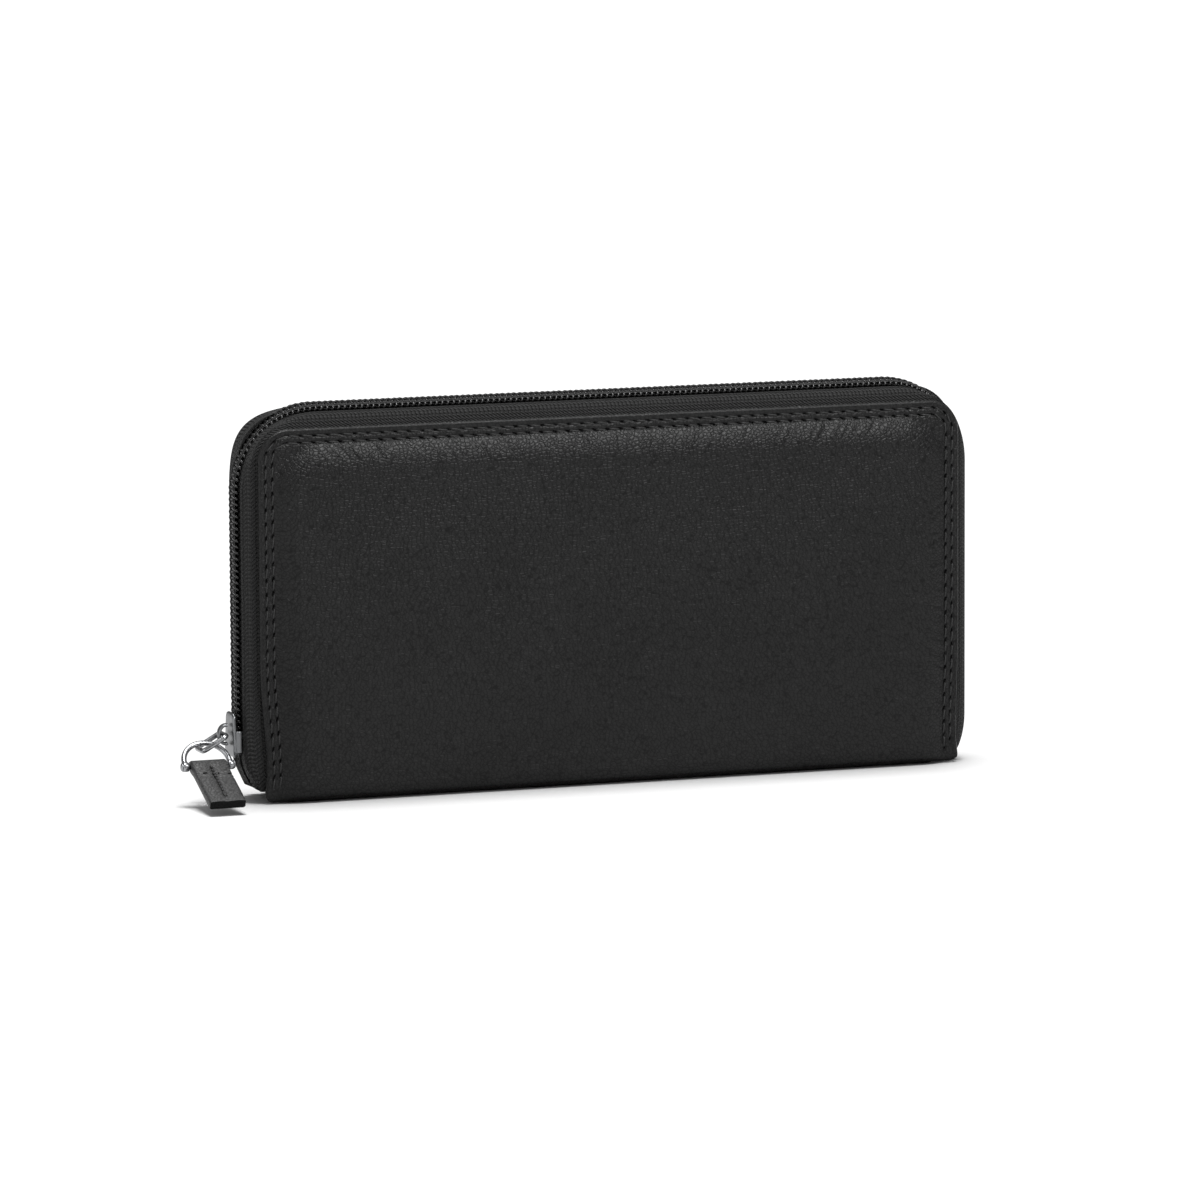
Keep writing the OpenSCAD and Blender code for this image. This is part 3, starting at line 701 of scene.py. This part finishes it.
def zip_tape(side, half):
    """One half of the woven tape, from the cover's inside over its crest to the coil."""
    top, grip = (FRONT_TOP, FRONT_GRIP) if side < 0 else (BACK_TOP, BACK_GRIP)
    verts, uv = [], []
    sec = tape_section()
    for (k, y), v_run in zip(sec, lengths(sec * (ZIP_SIDE, 1))):
        r = max(COVER_R + np.clip(k, 0, 1) ** grip * (ZIP_R - COVER_R) + min(k, 0) * ZIP_SIDE, 1.0)
        out_side, out_top = max(k * SIDE_CREST, -FLANGE_IN), max(k * top, -FLANGE_IN)
        p = tucked(u_line(HALF_W + out_side, COVER_H + out_top, r, TAPE_Z)[0], k)
        p[:, 0] *= 1 - (1 - np.clip(k, 0, 1)) * smooth((20 - p[:, 1]) / 16) / HALF_W
        for (x, z), run in zip(p, lengths(p)):
            verts.append((x, side * y, z))
            uv.append((run, v_run))
    k = len(p)
    faces = grid_faces(len(sec), k, close_rows=True)
    faces.append(tuple(j * k for j in range(len(sec))))
    faces.append(tuple(j * k + k - 1 for j in reversed(range(len(sec)))))
    add_mesh(half + "_tape_weave", verts, faces, M_TAPE, half + "_half", (half + "_zip_tape",), "zip_tape",
             uv)


def coil_line():
    """The line that both coils follow, from the slider to the end stop."""
    return u_line(HALF_W + ZIP_SIDE, COVER_H + ZIP_TOP, ZIP_R, COIL_Z, STOP_TOP, 64, 60, 130)


def lean(m, y):
    """How far the chain leans: along the top its back edge stands higher than its front edge."""
    return (LEAN_SLOPE * y - LEAN_DROP) * max(m[1], 0) ** 2


def squared(a):
    """A wave from -1 to 1 made flatter at its ends."""
    return np.sign(a) * np.abs(a) ** 0.7


def zip_coil(side, half, start):
    """The wound nylon of one half of the chain: a flattened spiral whose heads pass the middle."""
    turn = np.linspace(0, 2 * pi, COIL_STEPS, endpoint=False)
    across = COIL_ACROSS[0] + COIL_ACROSS[1] * squared(np.cos(turn))
    out = COIL_OUT[0] + COIL_OUT[1] * squared(np.sin(turn))
    pts = []
    for i, (q, m, _) in enumerate(along(*coil_line(), start, PITCH / COIL_STEPS, COIL_END)):
        y = side * across[i % COIL_STEPS]
        o = out[i % COIL_STEPS] + lean(m, y)
        pts.append((q[0] + m[0] * o, y, q[1] + m[1] * o))
    add_mesh(half + "_coil_loops", *tube(pts, COIL_R, 8), M_COIL, half + "_half", (half + "_zip_coil",),
             "nylon_coil", outward=False)


def coil_thread(side, half):
    """Two rows of chain stitch that hold one coil to its tape."""
    parts = []
    for y0, rise in THREAD_ROWS:
        pts = []
        for i, (q, m, _) in enumerate(along(*coil_line(), 0.2, PITCH / 4, COIL_END)):
            y = side * (y0 + 0.1 * sin(i * pi / 4))
            o = rise + 0.1 * cos(i * pi / 2) + lean(m, y)
            pts.append((q[0] + m[0] * o, y, q[1] + m[1] * o))
        parts.append(tube(pts, COIL_THREAD_R, 6))
    add_mesh(half + "_coil_thread", *merge(parts), M_THREAD, half + "_half", (), "thread", outward=False)


def slider_outline(inset):
    """Shield outline of a slider plate in y and z: wide at its lower, open end."""
    lo, hi = SLIDER_W / 2 - inset, SLIDER_W / 2 - 0.9 - inset
    z0, z1 = SLIDER_Z + inset, SLIDER_Z + SLIDER_L - inset
    k = max(SLIDER_R - inset, 0.3)
    corners = ((lo - k, z0 + k, -90), (hi - k, z1 - k, 0), (-hi + k, z1 - k, 90), (-lo + k, z0 + k, 180))
    return [q for cy, cz, a0 in corners for q in arc_points(cy, cz, k, a0, a0 + 90, 8, whole=True)]


def slider_plate(x0, x1):
    """One plate of the slider with a rolled edge and a domed face; x1 is its outer face."""
    sign = 1 if x1 > x0 else -1
    t = abs(x1 - x0)
    rings = [(1.4, 0.0), (0.25, 0.0), (0.0, 0.25), (0.0, t * 0.55), (0.12, t * 0.82), (0.4, t * 0.95),
             (1.2, t), (2.6, t)]
    verts = []
    for inset, h in rings:
        verts += [(x0 + sign * h, y, z) for y, z in slider_outline(inset)]
    return verts, capped(len(rings), len(verts) // len(rings))


def soft_box(x, y, z, r=0.25):
    """A small metal block with rounded edges, between pairs of limits."""
    return block((*y, *z), x[0], x[1], r, 1.0, r, place=lambda u, w, h: (h, u, w))


def zip_slider():
    """Two plates joined by a wedge, with lips beside the coils and a bridge for the link."""
    parts = [slider_plate(-PLATE_IN, -PLATE_OUT), slider_plate(-INNER_OUT, -INNER_OUT + SLIDER_T)]
    wedge_x, wedge_z = (-PLATE_IN - 0.1, -INNER_OUT + 0.1), (SLIDER_Z + 0.2, SLIDER_Z + 3.0)
    parts.append(soft_box(wedge_x, (-0.95, 0.95), wedge_z))
    for s in (-1, 1):
        edge = s * (SLIDER_W / 2 - 0.4)
        lip_x, lip_z = (-PLATE_IN - 0.3, -PLATE_IN + 1.35), (SLIDER_Z + 1.2, SLIDER_Z + 6.6)
        parts.append(soft_box(lip_x, (edge - 0.35, edge + 0.35), lip_z))
    arch = []
    for a in np.radians(np.linspace(-12, 192, 25)):
        arch.append((-BAR_X + 0.55 - 1.75 * sin(a), 0.0, BAR_Z + 2.35 * cos(a)))
    parts.append(tube(arch, 1.1, 12, flat=0.42, up=(1, 0, 0)))
    add_mesh("slider_body", *merge(parts), M_SLIDER, "slider", ("zip_slider",), "silver_metal", outward=False)


# Pull
LINK_L, LINK_R, LINK_BAR, LINK_BEND = 7.0, 0.65, 1.9, 1.0
LINK_TILT, RING_TILT, TAB_DROP = radians(60), radians(45), radians(24)
RING_R, RING_WIRE, RING_LEG, RING_LAP = 5.8, 0.7, 1.2, 0.4
TAB_W, TAB_L, TAB_T, TAB_LIP = 9.2, 18.0, 3.0, 0.3
ACROSS = np.array([1.0, 0.0, 0.0])
LINK_DOWN = np.array([-sin(LINK_TILT), 0, -cos(LINK_TILT)])
RING_HANG = np.array([0, -sin(RING_TILT), -cos(RING_TILT)])
TAB_RUN = np.array([0, -cos(TAB_DROP), -sin(TAB_DROP)])
TAB_LIFT = np.array([0, -sin(TAB_DROP), cos(TAB_DROP)])
APEX = np.array([0.5 - BAR_X - LINK_L * sin(LINK_TILT), 0.0,
                 BAR_Z - LINK_L * cos(LINK_TILT) + LINK_R + RING_WIRE + 0.3])
PIN = APEX + (RING_R + RING_LEG) * RING_HANG
# Turned profiles along X, as place and radius: a foot of the ring, and one end of the pin
RING_FOOT = [(-0.8, 0.75), (-0.78, 1.0), (-0.6, 1.2), (0.6, 1.2), (0.78, 1.0), (0.8, 0.75)]
PIN_HEAD = [(-0.4, 0.3), (-0.36, 0.7), (-0.2, 0.98), (0.0, 1.05), (0.01, 0.68)]
# The tab's stitches and the two creases behind the pin, as place along it and depth
TAB_CREASES = ((5.2, 0.42), (6.6, 0.36))
TAB_STITCH_STEP, TAB_STITCH_L, TAB_STITCH_R, TAB_KNOT_R = 1.25, 0.95, 0.34, 0.36


def pull_link():
    """Wire loop through the slider's bridge."""
    far = LINK_L - LINK_BEND
    corners = ((LINK_BAR, LINK_BEND, 90), (LINK_BAR, far, 0), (-LINK_BAR, far, -90),
               (-LINK_BAR, LINK_BEND, 180))
    pts = []
    for y0, run, a0 in corners:
        for y, rise in arc_points(y0, -run, LINK_BEND, a0, a0 - 90, 8, whole=True):
            pts.append(np.array([-BAR_X, y, BAR_Z]) - LINK_DOWN * rise)
    wire = tube(pts, LINK_R, 14, closed=True, up=np.cross(LINK_DOWN, (0, 1, 0)))
    add_mesh("link_wire", *wire, M_SILVER, "link", ("pull_link",), "silver_metal")


def lathe_x(profile, centre, sides=22):
    """A turned piece along X from (x, radius) pairs."""
    verts = []
    for x, r in profile:
        verts += [(centre[0] + x, y, z) for y, z in arc_points(centre[1], centre[2], r, 0, 360, sides)]
    return verts, capped(len(profile), sides)


def pull_ring():
    """Horseshoe wire whose two round feet hold the pin."""
    pts = [PIN - RING_R * ACROSS - RING_HANG * RING_LAP]
    for a in np.radians(np.linspace(180, 0, 33)):
        rise = RING_LEG + RING_R * sin(a)
        pts.append(PIN + RING_R * cos(a) * ACROSS - RING_HANG * rise)
    pts.append(PIN + RING_R * ACROSS - RING_HANG * RING_LAP)
    parts = [tube(pts, RING_WIRE, 16, up=np.cross(RING_HANG, ACROSS))]
    parts += [lathe_x(RING_FOOT, PIN + s * RING_R * ACROSS) for s in (-1, 1)]
    add_mesh("ring_wire", *merge(parts), M_SILVER, "ring", ("pull_ring",), "silver_metal")
    end = RING_R + RING_FOOT[-1][0]
    profile = [(x - end, r) for x, r in PIN_HEAD]
    profile += [(-x, r) for x, r in reversed(profile)]
    add_mesh("ring_pin", *lathe_x(profile, PIN), M_PIN, "ring", ("pull_pin",), "silver_metal")


def tab_half_thickness(t):
    """Half the thickness of the tab along its length: round over the pin, then its layers lie flat."""
    if t < 0:
        return sqrt(max((TAB_T / 2) ** 2 - t * t, 0.0))
    return TAB_T / 2 - 0.42 * float(smooth((t - 0.6) / 3.6))


def tab_point(w, t, h):
    """A point of the tab from its place across, along and up from the pin's axis."""
    return PIN + w * ACROSS + TAB_RUN * t + TAB_LIFT * h


def tab_top(w, t):
    """How the tab's upper face departs from flat: sewn groove, creases and pillowed halves."""
    sewn = float(smooth((t - 1.5) / 1.5) * smooth((TAB_L - 1.2 - t) / 2))
    seam = -0.32 * exp(-(w / 0.5) ** 2) * sewn
    crease = -sum(deep * exp(-((t - at - 0.1 * w) / 0.3) ** 2) for at, deep in TAB_CREASES)
    pillow = 0.18 * sin(pi * min(abs(w) / (TAB_W / 2), 1.0))
    return seam + crease + pillow * float(smooth((t + 0.5) / 2))


def tab_side(share):
    """How far the tab's faces turn in beside its cut sides; share runs from -1 to 1 across."""
    return 0.28 * (1 - sqrt(max(1 - max(abs(share) - 0.92, 0) ** 2 / 0.08 ** 2, 0)))


def pull_tab():
    """Two layers of leather folded round the pin and sewn down the middle."""
    ts = list(-TAB_T / 2 * np.cos(np.linspace(0.12, pi / 2, 8)))
    ts += list(np.arange(0.4, TAB_L - 0.4, 0.3)) + [TAB_L - TAB_LIP, TAB_L - 0.12, TAB_L - 0.03, TAB_L]
    nw = 26
    verts = []
    for t in ts:
        lip = max(0.0, (t - (TAB_L - TAB_LIP)) / TAB_LIP)
        back = TAB_LIP * (1 - sqrt(max(1 - lip * lip, 0)))
        half = max(tab_half_thickness(t) - back, 0.05)
        width = TAB_W / 2 - back
        upper = [(w * width, half + tab_top(w * width, t) - tab_side(w)) for w in np.linspace(-1, 1, nw)]
        lower = [(w * width, -half + tab_side(w)) for w in np.linspace(1, -1, nw)]
        verts += [tab_point(w, t, h) for w, h in upper + lower]
    o = add_mesh("tab_leather", verts, capped(len(ts), 2 * nw), M_TAB, "tab", ("pull_tab",), "black_leather")
    o.data.materials.append(M_TAB_END_SHADE)
    # The end face that points down the tab takes the painted shade
    for f in o.data.polygons:
        if f.normal.dot(Vector(TAB_RUN)) > 0.7:
            f.material_index = 1
    parts = []
    for t in np.arange(2.0, TAB_L - 2.6, TAB_STITCH_STEP):
        h = tab_half_thickness(t) - 0.16
        parts.append(capsule(tab_point(-0.1, t, h), tab_point(0.1, t + TAB_STITCH_L, h), TAB_STITCH_R))
    h = tab_half_thickness(TAB_L - 3) - 0.08
    for w in (-0.22, 0.22):
        parts.append(capsule(tab_point(w, TAB_L - 4.0, h), tab_point(w * 0.5, TAB_L - 2.7, h), TAB_KNOT_R))
    add_mesh("tab_stitches", *merge(parts), M_THREAD, "tab", ("pull_tab_stitch",), "thread")


# Inside
PANEL_HW, PANEL_Z, PANEL_TOP, BINDING_W = 88.0, 4.0, 68.0, 2
PANEL_OUT = LINING_IN - 1.1
PANEL_IN = PANEL_OUT - 0.5
POCKET_T, MOUTH_Z, MOUTH_STEP, POCKETS = 0.45, 32.0, 11.0, 4
STACK_IN = PANEL_IN - POCKETS * POCKET_T
BOARD_BOX, LINING_BOX = (-86, 86, 1.5, 86), (-90.2, 90.2, 1.6, 90.2)
COIN_OUT, COIN_IN, COIN_HW, COIN_R = 1.9, 1.1, 87.0, 1.2
COIN_Z, COIN_TOP, COIN_ZIP, COIN_GAP, COIN_END = 6.0, 82.0, 75.0, 3, 6
COIN_TAPE_HW, COIN_PITCH = 84.9, 2.0
COIN_SLIDER_X, COIN_PULL_Y, COIN_SLIDER_HL, COIN_SLIDER_HW = -75.0, -3.7, 4, 3.2
COIN_PLATES = ((-2.4, -3.0), (-0.3, 0.3))
# Pleats: outer end, lowest and highest point, half a layer, and the plan of their fold as x and gap
PLEAT_X, PLEAT_Z, PLEAT_TOP, PLEAT_T = 87.0, 8, 66, 0.09
PLEAT_RUNS = ((PLEAT_X, 0.08), (83, 0.12), (79, 0.22), (76, 0.42))
PLEAT_TIP = (75.2, 2.6)
SPINE_BOX, SPINE_LINING_BOX = (-87.5, 87.5, -7.7, 7.7), (-PANEL_HW, PANEL_HW, -6.6, 6.6)


def wave(u, v):
    """The slow ripple that every sheet of one half shares, so that they stay apart."""
    return 0.07 * sin(u / 21 + 0.7) * sin(v / 27 + 0.4)


def inside_half(side, half):
    """Board, lining, note compartment, stepped card pockets and pleats of one half."""
    body = half + "_half"
    plate(half + "_stiffener", BOARD_BOX, side * RIM_IN, side * TAPE_IN, M_BOARD, body, (half + "_board",),
          "board", r=(2, 2), edge=0.1)
    lining = plate(half + "_lining_cloth", LINING_BOX, side * (TAPE_IN - 0.02), side * LINING_IN, M_LINING,
                   body, (half + "_lining",), "lining_fabric", r=(6.5, 3))
    inner = PANEL_HW - BINDING_W
    boxes = ((-PANEL_HW, -inner, PANEL_Z, PANEL_TOP), (inner, PANEL_HW, PANEL_Z, PANEL_TOP),
             (-inner, inner, PANEL_Z, PANEL_Z + BINDING_W))
    strips = [block(box, side * LINING_IN, side * PANEL_OUT, 0.4, 2.5, 0.22, bow=wave) for box in boxes]
    add_mesh(half + "_note_edge", *merge(strips), M_INNER, body, (half + "_note_binding",), "inner_leather")
    plate(half + "_card_back", (-PANEL_HW, PANEL_HW, PANEL_Z, PANEL_TOP), side * PANEL_OUT, side * PANEL_IN,
          M_INNER, body, (half + "_card_panel",), "inner_leather", r=(3, 1), crease=0.1, bow=wave)
    for i in range(POCKETS):
        top = MOUTH_Z + (POCKETS - 1 - i) * MOUTH_STEP
        y = PANEL_IN - i * POCKET_T
        plate(f"{half}_pocket_leaf_{i + 1}", (-PANEL_HW, PANEL_HW, PANEL_Z, top), side * y,
              side * (y - POCKET_T), M_INNER, body, (f"{half}_card_pocket_{i + 1}",), "inner_leather",
              r=(1.5, 1), crease=0.1, bow=wave)
    parts = []
    for z in np.arange(PANEL_Z + 1.5, PANEL_TOP - 3, 3.0):
        steps = sum(z + 1 > MOUTH_Z + k * MOUTH_STEP for k in range(POCKETS))
        y = side * (STACK_IN + steps * POCKET_T - 0.05) + wave(0, z)
        parts.append(capsule((-0.12, y, z), (0.12, y, z + 2.2), 0.22))
    add_mesh(half + "_pocket_seam", *merge(parts), M_THREAD, body, (), "thread")
    for end, x_side in (("left", -1), ("right", 1)):
        gusset(side, half, end, x_side)


def gusset(side, half, end, x_side):
    """Pleated cloth between the card pockets and the coin pocket."""
    plan = [(x, STACK_IN - gap) for x, gap in PLEAT_RUNS] + [PLEAT_TIP]
    plan += [(x, COIN_OUT + gap) for x, gap in reversed(PLEAT_RUNS)]
    tip = len(PLEAT_RUNS)
    zs = np.linspace(PLEAT_Z, PLEAT_TOP, 30)
    verts = []
    for layer in (-PLEAT_T, PLEAT_T):
        for z in zs:
            pinch = 1 - 0.12 * sin(pi * (z - PLEAT_Z) / (PLEAT_TOP - PLEAT_Z))
            for i, (x, y) in enumerate(plan):
                reach = PLEAT_X - (PLEAT_X - x) * pinch + (layer if i == tip else 0)
                verts.append((x_side * reach, side * (y + layer * np.sign(tip - i)), z))
    rows, k = len(zs), len(plan)
    sheet = rows * k
    faces = grid_faces(rows, k)
    faces += [tuple(sheet + i for i in reversed(q)) for q in grid_faces(rows, k)]
    rim = list(range(k)) + [j * k + k - 1 for j in range(1, rows)]
    rim += [(rows - 1) * k + i for i in reversed(range(k - 1))]
    rim += [j * k for j in reversed(range(1, rows - 1))]
    faces += [(a, b, sheet + b, sheet + a) for a, b in zip(rim, rim[1:] + rim[:1])]
    node = f"{half}_gusset_{end}"
    o = add_mesh(f"{half}_pleat_{end}", verts, faces, M_GUSSET, None, (node,), "lining_fabric")
    if side < 0:
        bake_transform(o)
    else:
        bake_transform(o)


def coin_coil(name, s, start, node):
    """One half of the coin pocket's coil: loops from the tape to their heads past the middle."""
    across = 0.66 * np.array([2.75, 2.55, 2.05, 1.3, 0.5, -0.15, -0.55, -0.8])
    out = 0.8 * np.array([0.16, 0.5, 0.86, 0.97, 0.97, 0.9, 0.68, 0.45])
    radius = 0.8 * np.array([0.26, 0.3, 0.31, 0.31, 0.32, 0.38, 0.36, 0.24])
    slope = np.linspace(-0.1, 0.1, len(across))
    parts = []
    for x in np.arange(COIN_SLIDER_X + 4.6 + start, COIN_HW - COIN_END, COIN_PITCH):
        parts.append(tube(np.c_[x + slope, -COIN_IN - out, COIN_ZIP + s * across], radius, 8))
    add_mesh(name, *merge(parts), M_COIL, "coin_pocket", (node,), "nylon_coil", outward=False)


def coin_pocket():
    """Zipped pocket in the middle: walls, binding, tapes, coils, end stops and the strip that it turns on."""
    body = "coin_pocket"
    walls = (("coin_wall_back", 1, COIN_Z, COIN_TOP, "coin_back_wall"),
             ("coin_wall_front", -1, COIN_Z, COIN_ZIP - COIN_GAP, "coin_front_wall"),
             ("coin_strip_front", -1, COIN_ZIP + COIN_GAP, COIN_TOP, "coin_front_strip"))
    for name, s, z0, z1, node in walls:
        plate(name, (-COIN_HW, COIN_HW, z0, z1), s * COIN_IN, s * COIN_OUT, M_INNER, body, (node,),
              "inner_leather", r=(COIN_R, COIN_R), crease=0.1, edge=0.35)
    verts = []
    for d, y in ((0, -COIN_IN), (0, COIN_IN), (BINDING_W, COIN_IN), (BINDING_W, -COIN_IN)):
        outline = ring_points(-COIN_HW, COIN_HW, COIN_Z, COIN_TOP, COIN_R, COIN_R, d, 3.0)
        verts += [(x, y, z) for x, z in outline]
    faces = grid_faces(4, len(verts) // 4, close_rows=True, close_cols=True)
    add_mesh("coin_edge_binding", verts, faces, M_INNER, body, ("coin_binding",), "inner_leather")
    tapes = (("coin_tape_low", 67, 74, "coin_tape_lower"), ("coin_tape_high", 76, 79.9, "coin_tape_upper"))
    for name, z0, z1, node in tapes:
        plate(name, (-COIN_TAPE_HW, COIN_TAPE_HW, z0, z1), -COIN_IN, -COIN_IN + TAPE_T, M_TAPE, body, (node,),
              "zip_tape", r=(0.3, 0.3))
    coin_coil("coin_loops_low", -1, 0.3, "coin_coil_lower")
    coin_coil("coin_loops_high", 1, 1.3, "coin_coil_upper")
    stops = []
    for s in (-1, 1):
        x = s * (COIN_HW - COIN_END + 1.5)
        stops.append(block((x - 0.75, x + 0.75, COIN_ZIP - 1.8, COIN_ZIP + 1.8), -COIN_IN, -COIN_IN - 1.0))
    add_mesh("coin_stop_clips", *merge(stops), M_PIN, body, ("coin_zip_stops",), "silver_metal")
    section = arc_points(0, 2.4, 0.4, 120, 420, 16, whole=True)
    section += [(0.2, 2.9), (0.2, COIN_Z), (-0.2, COIN_Z), (-0.2, 2.9)]
    xs = np.linspace(-COIN_HW, COIN_HW, 30)
    verts = [(x, y, z) for x in xs for y, z in section]
    add_mesh("coin_fold_strip", verts, capped(len(xs), len(section)), M_INNER, body, ("coin_hinge_strip",),
             "inner_leather")


def coin_slider():
    """The coin pocket's slider with its bridge, and its flat pull with a wire eye."""
    x, z, y = COIN_SLIDER_X, COIN_ZIP, COIN_PULL_Y
    box = (x - COIN_SLIDER_HL, x + COIN_SLIDER_HL, z - COIN_SLIDER_HW, z + COIN_SLIDER_HW)
    parts = [block(box, y0, y1, 1.4, edge=0.28) for y0, y1 in COIN_PLATES]
    parts.append(block((x - 3.8, x - 2, z - 0.6, z + 0.6), -2.5, -0.2, 0.2, 0.5, 0.15))
    angles = np.radians(np.linspace(0, 180, 17))
    arch = [(x + 1.5 * cos(a), -3.0 - 1.25 * sin(a) + 0.15, z) for a in angles]
    parts.append(tube(arch, 0.95, 10, flat=0.34, up=(0, 1, 0)))
    add_mesh("coin_slider_body", *merge(parts), M_SILVER, "coin_zip_slider", ("coin_slider",), "silver_metal",
             outward=False)
    tongue = block((x + 2.6, x + 16, z - 2.2, z + 2.2), y - 0.4, y + 0.4, 1.8, edge=0.25, crease=0.08)
    bend = ((3, 1.75), (0.8, 1.75), (0.2, 1.5), (0, 0.9))
    eye = [(x + a, y, z - b) for a, b in bend] + [(x + a, y, z + b) for a, b in reversed(bend)]
    parts = [tongue, tube(eye, 0.4, 10, up=(0, 1, 0))]
    add_mesh("coin_pull_tongue", *merge(parts), M_SILVER, "coin_zip_pull", ("coin_pull",), "silver_metal")


def spine():
    """The leather floor of the wallet and its lining."""
    flat = dict(place=lambda u, v, h: (u, v, h))
    plate("spine_leather", SPINE_BOX, 0.05, 1.3, M_LEATHER, "back_half", ("spine_strip",), "black_leather",
          r=(3, 3), edge=0.5, **flat)
    lining = plate("spine_lining_cloth", SPINE_LINING_BOX, 1.4, 1.95, M_LINING, "back_half",
                   ("spine_lining",), "lining_fabric", r=(1, 1), **flat)


def end_stop():
    """Metal clip at the right end of the zip."""
    x = HALF_W + ZIP_SIDE
    clip = soft_box((x, x + COIL_H), (-2.6, 2.6), (STOP_Z, STOP_Z + STOP_L), 0.35)
    add_mesh("zip_stop_clip", *clip, M_PIN, "back_half", ("zip_end_stop",), "silver_metal")


for side, half, start in ((-1, "front", PITCH / 2), (1, "back", PITCH)):
    cover(side, half)
    pad(side, half)
    stitches(side, half)
    zip_tape(side, half)
    zip_coil(side, half, start)
    coil_thread(side, half)
    inside_half(side, half)
zip_slider()
pull_link()
pull_ring()
pull_tab()
coin_pocket()
coin_slider()
spine()
end_stop()


# Stage
def stage_floor(size, tone):
    """A plain pale floor."""
    me = bpy.data.meshes.new("floor")
    corners = ((-size, -size, 0), (size, -size, 0), (size, size, 0), (-size, size, 0))
    me.from_pydata(corners, [], [(0, 1, 2, 3)])
    m, p = material("pale_floor")
    feed(p, {"Base Color": (tone, tone, tone, 1), "Roughness": 0.6, "Specular IOR Level": 0.2})
    me.materials.append(m)
    o = put("floor", me)
    return o


def sun_light(name, toward, spread, strength):
    """A large distant softbox: its direction, its width in degrees and its strength."""
    d = bpy.data.lights.new(name, "SUN")
    d.angle = radians(spread)
    d.energy = strength
    put(name, d).rotation_euler = (-Vector(toward)).to_track_quat("-Z", "Y").to_euler()


def area_light(name, pos, target, size, size_y, watts):
    """A near softbox that faces its target."""
    d = bpy.data.lights.new(name, "AREA")
    d.shape = "RECTANGLE"
    d.size, d.size_y, d.energy = size, size_y, watts
    o = put(name, d)
    o.location = pos
    o.rotation_euler = (Vector(target) - Vector(pos)).to_track_quat("-Z", "Y").to_euler()
    return o


def spare_floor(lights, floor):
    """Keep small lights off the floor, so that the shadow under the wallet stays."""
    unlit = bpy.data.collections.new("unlit_by_small_lights")
    unlit.objects.link(floor)
    unlit.collection_objects[0].light_linking.link_state = "EXCLUDE"
    for o in lights:
        o.light_linking.receiver_collection = unlit


floor = stage_floor(size=8, tone=0.9)
sun_light("overhead_softbox", toward=(0.03, 0.03, 0.99), spread=26, strength=3.5)
front_softbox = area_light("front_softbox", pos=(0.225, -0.56, 0.63), target=(0.025, 0, 0.08), size=0.35,
                           size_y=0.32, watts=6.5)
left_light = area_light("left_light", pos=(-0.9, -0.3, 0.35), target=(0, 0, 0.05), size=0.6, size_y=0.7,
                        watts=2.5)
spare_floor((front_softbox, left_light), floor)
world = bpy.data.worlds.new("studio")
bpy.context.scene.world = world
world.use_nodes = True
feed(world.node_tree.nodes["Background"], {"Color": (1, 1, 1, 1), "Strength": 0.28})
bpy.context.scene.view_settings.view_transform = "Standard"

# Camera fitted to the edges measured in the photograph, whose frame is IMAGE_PX wide
AZ, EL, ROLL = radians(19.99), radians(7.42), radians(-0.307)
DIST, FOCAL_PX, IMAGE_PX, PX_PER_M = 1.9011, 7572.0, 1200, 3983
AIM_RIGHT_PX, AIM_UP_PX = 2.99, 24.18
SENSOR_MM = 36.0
CENTRE = Vector((0, 0, 0.0514))
toward = Vector((-sin(AZ) * cos(EL), -cos(AZ) * cos(EL), sin(EL)))
right = Vector((cos(AZ), -sin(AZ), 0))
up = toward.cross(right)
eye = CENTRE + toward * DIST
aim = CENTRE - right * (AIM_RIGHT_PX / PX_PER_M) - up * (AIM_UP_PX / PX_PER_M)
back = (eye - aim).normalized()
x_axis = right * cos(ROLL) + up * sin(ROLL)
x_axis = (x_axis - back * x_axis.dot(back)).normalized()
y_axis = back.cross(x_axis)
cam_data = bpy.data.cameras.new("photo_camera")
cam = put("photo_camera", cam_data)
cam.matrix_world = Matrix((
    (x_axis.x, y_axis.x, back.x, eye.x),
    (x_axis.y, y_axis.y, back.y, eye.y),
    (x_axis.z, y_axis.z, back.z, eye.z),
    (0, 0, 0, 1)))
cam_data.sensor_width = SENSOR_MM
cam_data.lens = SENSOR_MM * FOCAL_PX / IMAGE_PX
cam_data.clip_start, cam_data.clip_end = 0.05, 50
bpy.context.scene.camera = cam
